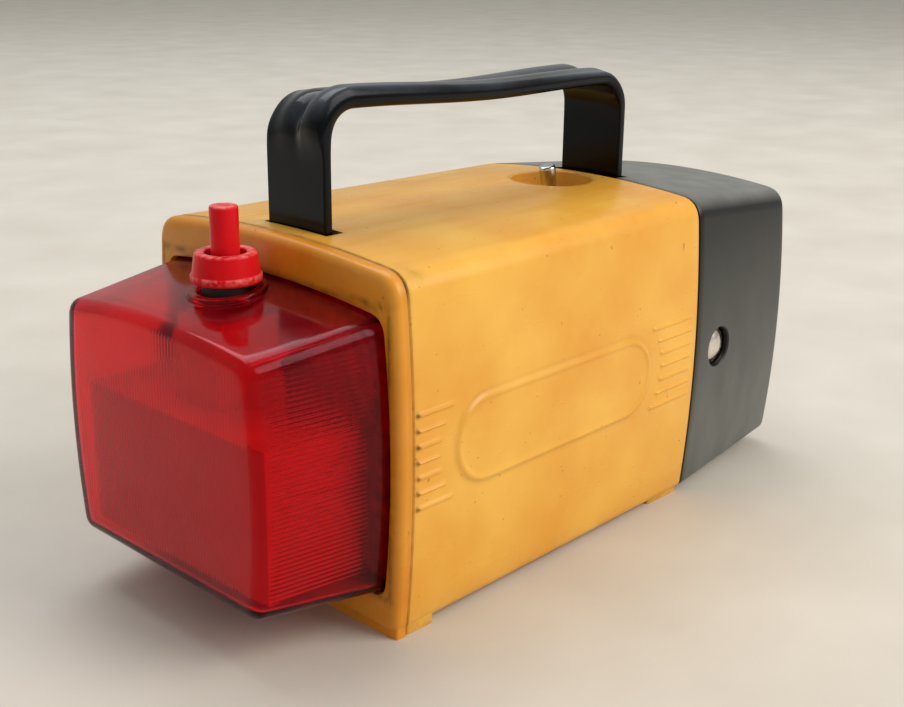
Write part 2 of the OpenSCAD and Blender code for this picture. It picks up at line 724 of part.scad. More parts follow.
module toggle_switch() color("#3B2A1E") {
    body_top = well_floor - well_wall;
    difference() {
        union() {
            box(x_well - toggle_body_l / 2, x_well + toggle_body_l / 2, -toggle_body_w / 2, toggle_body_w / 2,
                body_top - toggle_body_h, body_top);
            translate([x_well, 0, body_top - over])
                cylinder(d = toggle_bushing_d, h = well_wall + toggle_bushing_out + over);
        }
        translate([x_well, 0, lever_pivot - lever_ball]) cylinder(d = lever_ball + 2 * running, h = well_depth);
        rod_y(x_well, -toggle_bushing_d, lever_pivot, lever_pin_d + 2 * running, 2 * toggle_bushing_d);
    }
}

module toggle_nut() color("#CFCFCB") translate([x_well, 0, well_floor]) difference() {
    cylinder(d = toggle_bushing_d + toggle_nut_margin, h = toggle_nut_t, $fn = 6);
    translate([0, 0, -over]) cylinder(d = toggle_bushing_d + 2 * seat, h = toggle_nut_t + 2 * over);
}

module toggle_lever() color("#D8D8D4") translate([x_well, 0, lever_pivot]) rotate([0, -lever_lean, 0]) {
    sphere(d = lever_ball);
    rod_y(0, -lever_pin_l / 2, 0, lever_pin_d, lever_pin_l);
    cylinder(d = lever_stem_d, h = lever_stem_l + over);
    translate([0, 0, lever_stem_l])
        cylinder(d1 = lever_stem_d, d2 = lever_d, h = lever_l - lever_stem_l - lever_d / 2);
    translate([0, 0, lever_l - lever_d / 2]) sphere(d = lever_d);
}

module toggle_terminals() color("#C9A24B") both_sides() {
    lug_z = well_floor - well_wall - toggle_body_h / 2;
    for (side = [-1, 1]) {
        x = x_well + side * toggle_body_l / 4;
        box(x - lug_w / 2, x + lug_w / 2, toggle_body_w / 2, toggle_body_w / 2 + lug_w, lug_z, lug_z + strip_t);
    }
}

// A bar along X with round long edges
module rounded_bar(x0, x1, w, z, r) {
    both_sides() for (s = [-1, 1])
        rod_x(x0, w / 2 - r, z + s * (w / 2 - r), 2 * r, x1 - x0);
    box(x0, x1, -w / 2 + r, w / 2 - r, z - w / 2, z + w / 2);
    box(x0, x1, -w / 2, w / 2, z - w / 2 + r, z + w / 2 - r);
}

module battery_case() color("#2F4B7C") rounded_bar(x_battery, x_cap, battery_w, battery_z, battery_r);

module battery_cap() color("#222222") rounded_bar(x_cap, x_spring, battery_w, battery_z, battery_r);

module battery_springs() color("#C9A24B") both_sides()
    translate([x_spring, terminal_y, battery_z]) rotate([0, 90, 0])
        coil(terminal_wire, terminal_r, terminal_r / 2, 4, spring_l);

module battery_pad() color("#6B655C")
    box(x_inside, x_battery, -battery_w / 3, battery_w / 3, battery_z - battery_w / 3, battery_z + battery_w / 3);

module head_shell() color("#2E2E2D") difference() {
    union() {
        difference() {
            loft(concat(
                [head_ring(x_joint + joint_groove, 0)],
                [for (i = [0:end_n]) let (a = 90 * i / end_n)
                    head_ring(x_front - front_r * (1 - sin(a)), front_r * (1 - cos(a)))]
            ));
            loft([head_ring(x_joint - over, head_wall), head_ring(x_frame, head_wall)]);
        }
        both_sides() {
            rod_y(x_screw, boss_y, screw_z, recess_d + 2 * boss_wall, screw_y - boss_y - 1);
            for (s = [-1, 1])
                rod_x(x_post, post_y, beam_z + s * post_y, post_d, x_frame - x_post + over);
        }
    }
    rod_x(x_frame - over, 0, beam_z, window_d, frame_t + 2 * over);
    box(x_joint - over, leg_x[1] + slot_back + loose, -slot_w / 2, slot_w / 2, beam_z, case_h + over);
    both_sides() {
        rod_y(x_screw, screw_seat_y, screw_z, recess_d, case_w_front);
        rod_y(x_screw, 0, screw_z, shank_d + 2 * seat, case_w_front);
        for (s = [-1, 1])
            rod_x(x_post - over, post_y, beam_z + s * post_y, small_shank + 2 * seat, post_hole + over);
    }
}

module front_gasket() color("#1B1B1B") difference() {
    rod_x(x_glass, 0, beam_z, lamp_d, front_gasket_t);
    rod_x(x_glass - over, 0, beam_z, window_d + 1, front_gasket_t + 2 * over);
}

module front_lens() color("#DDE6E8") rod_x(x_rim, 0, beam_z, lamp_d, lamp_lens_t);

module reflector() color("#D9DBDC") translate([x_vertex, 0, beam_z]) rotate([0, 90, 0]) {
    radii = [for (i = [0:dish_n]) mix(mirror_hole, mirror_r, i / dish_n)];
    rotate_extrude() polygon(concat(
        [for (r = radii) [r, dish(r)]],
        [[lamp_d / 2, reflector_depth], [lamp_d / 2, reflector_depth - rim_t], [mirror_r + 1, reflector_depth - rim_t]],
        [for (i = [dish_n:-1:0]) [radii[i] + (i == 0 ? 0 : reflector_t / 2), dish(radii[i]) - reflector_t]]
    ));
    neck_r = holder_d / 2 + seat;
    rotate_extrude() polygon([
        [neck_r, -neck_l], [neck_r + reflector_t, -neck_l],
        [neck_r + reflector_t, dish(neck_r + reflector_t) - reflector_t / 2],
        [neck_r, dish(neck_r) - reflector_t / 2]
    ]);
}

module retainer_ring() color("#55585A") difference() {
    union() {
        rod_x(x_post - retainer_t, 0, beam_z, lamp_d, retainer_t);
        for (a = [45:90:315])
            translate([x_post - retainer_t, 0, beam_z]) rotate([a, 0, 0])
                box(0, retainer_t, mirror_r, post_y * sqrt(2) + 2, -post_d / 2, post_d / 2);
    }
    rod_x(x_post - retainer_t - over, 0, beam_z, 2 * mirror_r + 2 + 2 * seat, retainer_t + 2 * over);
    both_sides() for (s = [-1, 1])
        rod_x(x_post - retainer_t - over, post_y, beam_z + s * post_y, small_shank + 2 * seat, retainer_t + 2 * over);
}

module retainer_screws() color("#B9B9B4") both_sides() for (s = [-1, 1]) {
    rod_x(x_post - retainer_t - small_head_t, post_y, beam_z + s * post_y, small_head_d, small_head_t);
    rod_x(x_post - retainer_t - small_head_t, post_y, beam_z + s * post_y, small_shank,
        small_head_t + retainer_t + post_hole - seat);
}

module lamp_holder() color("#3B2A1E") difference() {
    rod_x(x_holder, 0, beam_z, holder_d, x_vertex - x_holder);
    rod_x(x_vertex - lamp_base_l - seat, 0, beam_z, lamp_base_d + 2 * seat, lamp_base_l + over);
}

module lamp_bulb_base() color("#C9A24B") {
    rod_x(x_vertex - lamp_base_l, 0, beam_z, lamp_base_d, lamp_base_l + lamp_collar_t);
    rod_x(x_vertex, 0, beam_z, 2 * mirror_hole - 1, lamp_collar_t);
}

module lamp_bulb_glass() color("#F4F1E6") {
    focus = mirror_r * mirror_r / (4 * reflector_depth);
    translate([x_vertex + focus, 0, beam_z]) sphere(d = lamp_bulb_d);
    rod_x(x_vertex + lamp_collar_t, 0, beam_z, lamp_base_d - 1, focus - lamp_collar_t);
}

module contact_board() color("#6A4A2C")
    box(x_board, x_holder, -terminal_y - board_margin, terminal_y + board_margin,
        battery_z - board_margin - 4, beam_z + board_margin);

module contact_strips() color("#C9A24B") both_sides()
    box(x_strip, x_board, terminal_y - terminal_r, terminal_y + terminal_r,
        battery_z - terminal_r - 1, battery_z + terminal_r + 1);

module head_screws() color("#E0DDD6") both_sides() {
    dome_r = (pow(screw_head_d / 2, 2) + screw_dome * screw_dome) / (2 * screw_dome);
    rod_y(x_screw, screw_seat_y, screw_z, screw_head_d, screw_disc);
    intersection() {
        rod_y(x_screw, screw_seat_y + screw_disc - 0.1, screw_z, screw_head_d, screw_dome + over);
        translate([x_screw, screw_seat_y + screw_disc + screw_dome - dome_r, screw_z]) sphere(r = dome_r, $fn = 96);
    }
    rod_y(x_screw, nut_y - nut_t - shank_out, screw_z, shank_d, screw_seat_y + screw_disc - nut_y + nut_t + shank_out);
}

module head_nuts() color("#B9B9B4") both_sides() translate([x_screw, nut_y, screw_z]) rotate([90, 0, 0])
    difference() {
        cylinder(d = nut_d, h = nut_t, $fn = 6);
        translate([0, 0, -over]) cylinder(d = shank_d + 2 * seat, h = nut_t + 2 * over);
    }

case_body();
rear_bezel();
bezel_screws();
flasher_lens();
lens_gasket();
flasher_carrier();
flasher_window();
flasher_socket();
flasher_bulb_base();
flasher_bulb_glass();
button_switch();
button_bushing();
button_collar();
button_plunger();
button_spring();
handle();
handle_pins();
toggle_switch();
toggle_nut();
toggle_lever();
toggle_terminals();
battery_case();
battery_cap();
battery_springs();
battery_pad();
head_shell();
front_gasket();
front_lens();
reflector();
retainer_ring();
retainer_screws();
lamp_holder();
lamp_bulb_base();
lamp_bulb_glass();
contact_board();
contact_strips();
head_screws();
head_nuts();
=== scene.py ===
"""Hand lantern with a red rear flasher: skins, finishes, floor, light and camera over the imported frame.

Every shape is worked out in millimetres in the frame of the solids: X along the beam, Z up from the ground.
"""

import bmesh
import bpy
import numpy as np
from mathutils import Matrix, Vector


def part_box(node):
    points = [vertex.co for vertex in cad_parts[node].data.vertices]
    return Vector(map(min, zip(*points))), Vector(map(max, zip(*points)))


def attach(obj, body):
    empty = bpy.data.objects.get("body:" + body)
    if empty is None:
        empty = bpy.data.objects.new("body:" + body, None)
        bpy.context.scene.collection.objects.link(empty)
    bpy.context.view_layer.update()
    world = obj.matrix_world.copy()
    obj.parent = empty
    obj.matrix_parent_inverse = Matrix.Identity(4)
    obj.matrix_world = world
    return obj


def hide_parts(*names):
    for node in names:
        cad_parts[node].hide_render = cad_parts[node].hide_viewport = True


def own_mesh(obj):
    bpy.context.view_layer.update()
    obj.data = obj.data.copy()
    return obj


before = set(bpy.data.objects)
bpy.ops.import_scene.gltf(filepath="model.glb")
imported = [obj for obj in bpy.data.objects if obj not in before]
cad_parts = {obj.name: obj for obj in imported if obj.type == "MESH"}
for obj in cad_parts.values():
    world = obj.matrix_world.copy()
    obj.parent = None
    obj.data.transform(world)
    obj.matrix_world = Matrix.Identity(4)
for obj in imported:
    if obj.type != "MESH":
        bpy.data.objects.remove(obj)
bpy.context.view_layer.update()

MM = 0.001

# Lengths along the beam, and the stations that follow from them
LENS_OUT, CASE_L, HEAD_L = 36.8, 132.0, 60.5
BEZEL_L, REAR_WALL, MOUTH_WALL = 4.6, 3.0, 3.0
BUTTON_BACK, WELL_BACK, SCREW_ON = 12.5, 16.0, 15.4
FRAME_T, GLASS_GAP, DISH_DEPTH = 3.4, 4.2, 36.0
X_LENS = -(LENS_OUT + CASE_L + HEAD_L) / 2
X_REAR = X_LENS + LENS_OUT
X_SEAM = X_REAR + BEZEL_L
X_INSIDE = X_SEAM + REAR_WALL
X_JOINT = X_REAR + CASE_L
X_MOUTH = X_JOINT - MOUTH_WALL
X_FRONT = X_JOINT + HEAD_L
X_BUTTON, X_WELL, X_SCREW = X_REAR - BUTTON_BACK, X_JOINT - WELL_BACK, X_JOINT + SCREW_ON
X_FRAME = X_FRONT - FRAME_T
X_RIM = X_FRAME - GLASS_GAP
X_VERTEX = X_RIM - DISH_DEPTH

# The bowed and crowned box, and the chamfer along its seam and joint
HALF_REAR, HALF_JOINT, HALF_FRONT = 50.8, 48.2, 43.7
CASE_LOW, CASE_TOP = 1.4, 100.0
HEAD_LOW, HEAD_TOP = 5.5, 94.8
BEAM_Z, SCREW_Z = (HEAD_LOW + HEAD_TOP) / 2, 47.0
BOW, CROWN = 2.5, 3.0
WALL, CORNER, BASE_CORNER, INNER_CORNER = 2.6, 6.0, 3.0, 3.4
BEZEL_ROLL, LENS_ROLL, FRONT_ROLL, CHAMFER = 2.4, 3.0, 4.0, 0.5

# The spigot that reaches into the head, the feet and the battery's rails
SPIGOT_IN, SPIGOT_WALL, SPIGOT_EDGE, SPIGOT_CORNER = 6.2, 2.4, 0.4, 4.0
SPIGOT_LOW, SPIGOT_END = 7.4, X_JOINT + 20.0
FOOT_IN, BEZEL_FOOT_IN, FOOT_H, FOOT_R = 29.7, 16.0, 3.2, 1.2
RAIL_Y, RAIL_HALF, RAIL_LOW, RAIL_TOP = 24.0, 3.0, 3.8, 11.0

# The bezel's opening, and the lens at its rear face
OPEN_HALF, OPEN_LOW, OPEN_TOP, OPEN_CORNER = HALF_REAR - 4.1, 11.2, 89.2, 4.0
FACE_HALF, FACE_LOW, FACE_TOP = OPEN_HALF - 5.6, 15.8, OPEN_TOP - 4.8
LENS_PLAY, LENS_WALL, LENS_INNER_ROLL, LENS_LIP = 0.6, 2.4, 2.0, 2.0
LINE_PITCH, LINE_H, LINES_LOW, LINES_TOP = 1.25, 0.30, 18.0, 82.0
LENS_HIGH = OPEN_TOP - LENS_PLAY
LENS_AT_BUTTON = LENS_HIGH - (LENS_HIGH - FACE_TOP) * BUTTON_BACK / LENS_OUT
CARRIER_LOW, CARRIER_TOP = 18.5, LENS_AT_BUTTON - 28.66
SOCKET_Z, SOCKET_HOLE = (CARRIER_LOW + CARRIER_TOP) / 2, 10.5

# The button: its boss on the lens, its bore, its top and its travel
BOSS_TOP, BOSS_BORE, BUTTON_TOP, PRESS = LENS_AT_BUTTON + 2.74, 7.6, 109.4, 4.0

# Relief on the sides, which lie beyond FLANK_Y
PLAQUE_X, PLAQUE_Z, PLAQUE_L, PLAQUE_R = (X_SEAM + X_JOINT) / 2 - 5.0, 49.0, 88.0, 13.0
PLAQUE_RUN = PLAQUE_L / 2 - PLAQUE_R
PLAQUE_H, PLAQUE_RISE, PLAQUE_RIM, PLAQUE_DROP = 0.85, 1.7, 1.9, 0.40
RIBS, RIB_PITCH, RIB_W, RIB_H, RIB_GAP, RIB_END = 7, 4.2, 1.5, 0.75, 5.0, 0.9
RELIEF_LOW, RELIEF_TOP, FLANK_Y = 33.0, 65.0, 38.0

# The round well of the toggle switch, and the strap's slots
WELL_CUT, WELL_DEPTH, SLOT_HALF, CUT_TOP = 13.7, 9.0, 12.9, 104.0

# Strap handle
LEG_REAR, LEG_FRONT = X_REAR + 12.0, X_JOINT + 4.7
LEG_REAR_LOW, LEG_FRONT_LOW = 91.9, 85.6
GRIP_REAR, GRIP_FRONT, BEND_R, SAG = 133.2, 131.9, 10.0, 1.3
STRAP_W, LEG_T, GRIP_T = 23.5, 2.6, 4.8

# Lamp head: its round window, the mirror's neck, the posts of the retainer, and the side screws
WINDOW_R, NECK_R, GLASS_R = 36.0, 7.0, 38.9
POST_R, POST_OFF = 3.4, 33.0
RECESS_R, RECESS_DEPTH, SCREW_R, SHANK_R = 6.4, 3.2, 5.8, 2.0


def mix(p, q, t):
    """Straight blend from p to q."""
    return p + (q - p) * t


def ease(t):
    """Smooth step from 0 to 1, flat at both ends."""
    t = np.clip(t, 0.0, 1.0)
    return t * t * (3.0 - 2.0 * t)


def bell(d, width):
    """Bell curve of a distance: 1 at zero, and small beyond the width."""
    return np.exp(-(d / width) ** 2)


def fade(d, width):
    """Falls off from 1 by a constant share for each width of distance."""
    return np.exp(-d / width)


def spaced(*stops):
    """Values along a line: each stop is (end, count), counted from the one before; ends are kept once."""
    runs = [np.linspace(a[0], b[0], b[1] + 1)[:-1] for a, b in zip(stops[:-1], stops[1:])]
    return np.concatenate(runs + [[stops[-1][0]]])


def steps(n):
    """Evenly spaced shares from 0 to 1, set to blend grids of points."""
    return np.linspace(0.0, 1.0, n)[:, None, None]


EVEN_SIDE, RIB_SIDE = np.linspace(0.0, 1.0, 33), np.linspace(0.0, 1.0, 361)
QUARTER = np.linspace(0.0, np.pi / 2, 9)


def section(a, z0, z1, r, b, side):
    """Closed section as Y and Z, one row for each station.

    The sides bow out by a parabola of the height and the top is crowned by a parabola of the width. The
    corners are quadratic curves of size r, or b at the underside. It runs from the middle of the underside
    up the +Y side and back down the other.
    """
    ze, ae = z1 - CROWN, a - BOW

    def bowed(z):
        """Half width at a height on a side."""
        return a - BOW * ((2.0 * z - z0 - ze) / (ze - z0)) ** 2

    def crowned(y):
        """Height of the top at a distance from the middle."""
        return z1 - CROWN * (y / ae) ** 2

    t = np.linspace(0.0, 1.0, 9)[None, :]
    low_y, low_z = (ae - b) * t, z0 + 0.0 * t
    c0, c1, c2 = (1 - t) ** 2, 2 * t * (1 - t), t ** 2
    one_y, one_z = c0 * (ae - b) + c1 * ae + c2 * bowed(z0 + b), c0 * z0 + c1 * z0 + c2 * (z0 + b)
    up_z = mix(z0 + b, ze - r, side[None, :])
    up_y = bowed(up_z)
    two_y = c0 * bowed(ze - r) + c1 * ae + c2 * (ae - r)
    two_z = c0 * (ze - r) + c1 * ze + c2 * crowned(ae - r)
    top_y = (ae - r) * (1.0 - np.linspace(0.0, 1.0, 25)[None, :])
    top_z = crowned(top_y)
    y = np.concatenate([low_y, one_y[:, 1:], up_y[:, 1:], two_y[:, 1:], top_y[:, 1:]], 1)
    z = np.concatenate([low_z, one_z[:, 1:], up_z[:, 1:], two_z[:, 1:], top_z[:, 1:]], 1)
    return np.concatenate([y, -y[:, -2:0:-1]], 1), np.concatenate([z, z[:, -2:0:-1]], 1)


def rings(x, a, z0, z1, r, side=EVEN_SIDE, base=None):
    """Sections set at their stations, as a grid of points. The lower corners have size base, or else r."""
    sizes = np.broadcast_arrays(x, a, z0, z1, r, r if base is None else base)
    x, a, z0, z1, r, base = (np.atleast_1d(np.asarray(v, float))[:, None] for v in sizes)
    y, z = section(a, z0, z1, r, base, side)
    return np.stack([np.broadcast_to(x, y.shape), y, z], -1)


def case_half(x):
    """Half width of the case at a station."""
    return mix(HALF_REAR, HALF_JOINT, (x - X_SEAM) / (X_JOINT - X_SEAM))


def head_shape(x):
    """Half width, underside and top of the head at a station, all straight tapers."""
    t = (np.asarray(x, float) - X_JOINT) / (X_FRONT - X_JOINT)
    return mix(HALF_JOINT, HALF_FRONT, t), mix(CASE_LOW, HEAD_LOW, t), mix(CASE_TOP, HEAD_TOP, t)


def lens_shape(x):
    """Half width, underside and top of the red lens at a station, all straight tapers."""
    t = (X_REAR - np.asarray(x, float)) / (X_REAR - X_LENS)
    a, low = mix(OPEN_HALF - LENS_PLAY, FACE_HALF, t), mix(OPEN_LOW + LENS_PLAY, FACE_LOW, t)
    return a, low, mix(LENS_HIGH, FACE_TOP, t)


def softened(points, r):
    """A polyline whose inner corners are rounded by quadratic curves that start r before each corner."""
    p = np.asarray(points, float)
    here, back, on = p[1:-1], p[:-2] - p[1:-1], p[2:] - p[1:-1]
    back_l, on_l = (np.linalg.norm(v, axis=1, keepdims=True) for v in (back, on))
    reach = np.minimum(np.broadcast_to(r, len(here))[:, None], 0.48 * np.minimum(back_l, on_l))
    start, end = here + back / back_l * reach, here + on / on_l * reach
    t = np.linspace(0.0, 1.0, 5)[None, :, None]
    curve = (1 - t) ** 2 * start[:, None] + 2 * t * (1 - t) * here[:, None] + t ** 2 * end[:, None]
    return np.concatenate([p[:1], curve.reshape(-1, 2), p[-1:]])


def turned(profile, at, axis="z", n=64):
    """A profile turned round an axis through a point: radius times cosine, radius times sine, and height."""
    profile = np.asarray(profile, float)
    q = np.linspace(0.0, 2 * np.pi, n, endpoint=False)[None, :]
    u, v = profile[:, :1] * np.cos(q), profile[:, :1] * np.sin(q)
    h = np.broadcast_to(profile[:, 1:], u.shape)
    order = {"z": (u, v, h), "x": (h, u, v), "y": (v, h, u)}[axis]
    return np.stack(order, -1) + np.asarray(at, float)


BOTH = (True, True)


def mesh_of(name, grid, along=False, poles=(False, False), caps=False, inner_from=None):
    """A mesh from a grid of points: quads between neighbours, closed round each row.

    Along closes it from the last row to the first too. A pole is the mean of an end row, joined to the next
    row by triangles. Caps close the end rows by one face each. Rows from inner_from on take the second
    material.
    """
    tips = [grid[end].mean(0) if pole else None for end, pole in zip((0, -1), poles)]
    grid = grid[int(poles[0]):len(grid) - int(poles[1])]
    m, n = grid.shape[:2]
    index = np.arange(m * n).reshape(m, n)
    i, j = np.arange(m if along else m - 1)[:, None], np.arange(n)[None, :]
    i1, j1 = (i + 1) % m, (j + 1) % n
    faces = np.stack([index[i, j], index[i, j1], index[i1, j1], index[i1, j]], -1).reshape(-1, 4).tolist()
    second = [inner_from is not None and row >= inner_from for row in range(len(i)) for _ in range(n)]
    points = grid.reshape(-1, 3)
    for end, tip in zip((0, m - 1), tips):
        if tip is not None:
            fan = np.stack([index[end], np.roll(index[end], -1), np.full(n, len(points))], -1)
            points = np.concatenate([points, tip[None]])
            faces += fan.tolist()
            second += [inner_from is not None and end > 0] * n
    if caps:
        faces += [index[0].tolist(), index[-1].tolist()]
        second += [False, False]
    mesh = bpy.data.meshes.new(name)
    mesh.from_pydata((points * MM).tolist(), [], faces)
    mesh.polygons.foreach_set("material_index", np.asarray(second, np.int32))
    work = bmesh.new()
    work.from_mesh(mesh)
    bmesh.ops.recalc_face_normals(work, faces=work.faces)
    work.to_mesh(mesh)
    work.free()
    return mesh


def loose(name, grid, **form):
    """A bare object from a grid, for joining or cutting."""
    thing = bpy.data.objects.new(name, mesh_of(name, grid, **form))
    bpy.context.scene.collection.objects.link(thing)
    return thing


def joined(first, *others):
    """Puts several bare objects into the first one's mesh."""
    work = bmesh.new()
    for thing in (first, *others):
        work.from_mesh(thing.data)
    work.to_mesh(first.data)
    work.free()
    for thing in others:
        bpy.data.objects.remove(thing)
    return first


def cut(thing, *tools):
    """Takes the tools' volume out of an object and removes the tools."""
    for tool in tools:
        step = thing.modifiers.new("cut", "BOOLEAN")
        step.operation, step.solver, step.object = "DIFFERENCE", "EXACT", tool
    bpy.context.view_layer.update()
    graph = bpy.context.evaluated_depsgraph_get()
    done = bpy.data.meshes.new_from_object(thing.evaluated_get(graph), depsgraph=graph)
    thing.modifiers.clear()
    thing.data = done
    for tool in tools:
        bpy.data.objects.remove(tool)


def finished(thing, body, materials, nodes, crease=38.0):
    """Shades a piece, gives it its finish, and fixes it to its body in place of the named solids.

    Shading is smooth, with edges sharper than the crease left crisp.
    """
    mesh = thing.data
    mesh.polygons.foreach_set("use_smooth", np.ones(len(mesh.polygons), bool))
    mesh.set_sharp_from_angle(angle=np.radians(crease))
    mesh.update()
    for material in materials:
        mesh.materials.append(material)
    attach(thing, body)
    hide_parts(*nodes)
    return thing


def places(thing):
    """Corner positions of a piece in millimetres, as X, Y and Z."""
    co = np.empty(len(thing.data.vertices) * 3)
    thing.data.vertices.foreach_get("co", co)
    return co.reshape(-1, 3).T / MM


def mark(thing, name, values):
    """Keeps one number for each corner of a piece, for its finish to read."""
    layer = thing.data.attributes.new(name, "FLOAT", "POINT")
    layer.data.foreach_set("value", np.clip(values, 0.0, 1.0).astype(np.float32))


def coiled(name, at, r, wire, turns, low, top):
    """A wire wound up a cylinder: a round section whose centre climbs evenly as it turns round the axis."""
    t = np.linspace(0.0, 1.0, 32 * turns + 1)[:, None]
    turn = 2 * np.pi * turns * t
    q = np.linspace(0.0, 2 * np.pi, 12, endpoint=False)[None, :]
    out = r + wire / 2 * np.cos(q)
    up = mix(low + wire / 2, top - wire / 2, t) + wire / 2 * np.sin(q)
    return loose(name, np.stack([at[0] + out * np.cos(turn), at[1] + out * np.sin(turn), up], -1), caps=True)


def block(name, x, y, z, r=0.6):
    """A bar with rounded long edges: a softened rectangle in X and Y carried up in Z."""
    (x0, x1), (y0, y1), (z0, z1) = x, y, z
    mid = (x0 + x1) / 2
    loop = softened([[mid, y0], [x1, y0], [x1, y1], [x0, y1], [x0, y0], [mid, y0]], r)[:-1]
    grid = np.stack([np.column_stack([loop, np.full(len(loop), h)]) for h in (z0, z1)])
    return loose(name, grid, caps=True)


def plug(name, r, low, top, at, axis="z", n=64):
    """A plain cylinder between two heights on an axis, for cutting."""
    return loose(name, turned([[0, low], [r, low], [r, top], [0, top]], at, axis, n), poles=BOTH)


# Finishes

def linear(code):
    """An sRGB hex colour as linear red, green, blue and alpha."""
    c = np.array([int(code[k:k + 2], 16) for k in (1, 3, 5)]) / 255.0
    c = np.where(c <= 0.04045, c / 12.92, ((c + 0.055) / 1.055) ** 2.4)
    return (*c.tolist(), 1.0)


def feed(tree, node, inputs):
    """Sets a node's sockets: another node's output is linked, a text is a colour, the rest are values."""
    for key, value in inputs.items():
        if isinstance(value, bpy.types.NodeSocket):
            tree.links.new(value, node.inputs[key])
        else:
            node.inputs[key].default_value = linear(value) if isinstance(value, str) else value


def add(tree, kind, inputs, **settings):
    """One node: settings are its own properties, inputs go to its sockets."""
    node = tree.nodes.new("ShaderNode" + kind)
    for key, value in settings.items():
        setattr(node, key, value)
    feed(tree, node, inputs)
    return node


class Finish:
    """A material in the making, with the few kinds of pattern that the finishes here are made of.

    Each pattern lies on the object's own coordinates, in metres, with its sizes given in millimetres.
    """

    def __init__(self, name):
        """Starts a material that has its shader and nothing else."""
        self.material = bpy.data.materials.new(name)
        self.material.use_nodes = True
        self.tree = self.material.node_tree
        self.here = add(self.tree, "TexCoord", {}).outputs["Object"]

    def stretched(self, *scale):
        """The coordinates scaled along each axis: a pattern runs long where the scale is small."""
        return add(self.tree, "Mapping", {"Vector": self.here, "Scale": scale}).outputs[0]

    def noise(self, size, detail, at=None):
        """Soft noise with patches of a given size."""
        grain = {"Scale": 1.0 / (size * MM), "Detail": detail}
        return add(self.tree, "TexNoise", {"Vector": self.here if at is None else at, **grain}).outputs["Fac"]

    def ranged(self, value, start, end, low=0.0, high=1.0):
        """A value carried from one range to another and held at its ends."""
        limits = {"From Min": start, "From Max": end, "To Min": low, "To Max": high}
        return add(self.tree, "MapRange", {"Value": value, **limits}).outputs[0]

    def math(self, operation, *values, **settings):
        """One step of arithmetic."""
        return add(self.tree, "Math", dict(enumerate(values)), operation=operation, **settings).outputs[0]

    def wave(self, distance, pitch):
        """A sine along a distance, which repeats at a pitch."""
        return self.math("SINE", self.math("MULTIPLY", distance, 2 * np.pi / (pitch * MM)))

    def blend(self, share, first, second):
        """The first colour carried toward the second by a share."""
        return add(self.tree, "Mix", {0: share, 6: first, 7: second}, data_type="RGBA").outputs[2]

    def along(self, axis, vector=None):
        """One part of a vector, or of the coordinates."""
        return add(self.tree, "SeparateXYZ", {0: self.here if vector is None else vector}).outputs[axis]

    def facing(self, axis):
        """One part of the direction that the surface faces."""
        return self.along(axis, add(self.tree, "NewGeometry", {}).outputs["Normal"])

    def held(self, name):
        """The number that a piece's corners hold under a name."""
        return add(self.tree, "Attribute", {}, attribute_name=name).outputs["Fac"]

    def dents(self, height, strength, depth):
        """The surface's direction after a relief of a given depth."""
        sizes = {"Strength": strength, "Distance": depth * MM}
        return add(self.tree, "Bump", {"Height": height, **sizes}).outputs[0]

    def made(self, sockets):
        """Feeds the shader and gives the finished material."""
        feed(self.tree, self.tree.nodes["Principled BSDF"], sockets)
        return self.material


def mottled(name, dark, light, patch, rough, grain, bump, stretch=(1, 1, 1), painted_sheen=None, more=None):
    """A surface whose colour and gloss drift in patches, with a fine grain that dents it.

    A painted sheen is the colour of a pale film painted in patches on what faces upward, in place of a soft
    reflection from above. More is what else the shader gets.
    """
    f = Finish(name)
    laid = f.stretched(*stretch)
    cloud = f.noise(patch, 5.0, laid)
    drift = f.ranged(cloud, 0.3, 0.7)
    tint = f.blend(drift, dark, light)
    if painted_sheen:
        # Painted sheen: the given pale colour laid in patches on upward faces, in place of a reflection from
        # above
        film = f.math("MULTIPLY", f.ranged(f.facing("Z"), 0.2, 0.9), drift)
        tint = f.blend(film, tint, painted_sheen)
    gloss = f.ranged(cloud, 0.3, 0.7, *rough)
    dent = f.dents(f.noise(grain, 3.0, laid), 0.35, bump)
    return f.made({"Base Color": tint, "Roughness": gloss, "Normal": dent, **(more or {"IOR": 1.5})})


def aged_yellow(name, deep, pale):
    """Moulded yellow plastic, aged and handled.

    The eye gets a warm satin yellow that drifts slightly, brown grime held in seams and rib ends, the same
    dark brown laid on as painted shade in the toggle well, the rear strap slot and on the rear wall inside,
    faint long smears on the top where hands and things slid over it, and small dark specks.
    """
    f = Finish(name)
    base = f.blend(f.ranged(f.noise(26.0, 5.0), 0.32, 0.68), deep, pale)
    smear = f.noise(7.0, 4.0, f.stretched(0.16, 1.0, 1.0))
    on_top = f.ranged(f.facing("Z"), 0.6, 0.95)
    streak = f.math("MULTIPLY", f.ranged(smear, 0.50, 0.78, 0.0, 0.16), on_top)
    base = f.blend(streak, base, "#9A6A22")
    speck = f.ranged(f.noise(1.6, 1.0), 0.755, 0.80, 0.0, 0.55)
    base = f.blend(speck, base, "#7A4C16")
    rag = f.ranged(f.noise(3.2, 5.0), 0.30, 0.62, 0.35, 1.0)
    # Dark brown where the corners hold grime, and where they hold painted shade in hollows and inside the
    # case
    dirt_and_shade = f.math("MULTIPLY", f.held("grime_and_shade"), rag)
    tint = f.blend(dirt_and_shade, base, "#3E2408")
    gloss = f.math("MULTIPLY_ADD", dirt_and_shade, 0.4, f.ranged(smear, 0.3, 0.7, 0.24, 0.42))
    dent = f.dents(f.noise(0.9, 3.0), 0.30, 0.05)
    return f.made({"Base Color": tint, "Roughness": gloss, "Normal": dent, "IOR": 1.5,
                   "Subsurface Weight": 0.06, "Subsurface Radius": (0.004, 0.0016, 0.0005)})


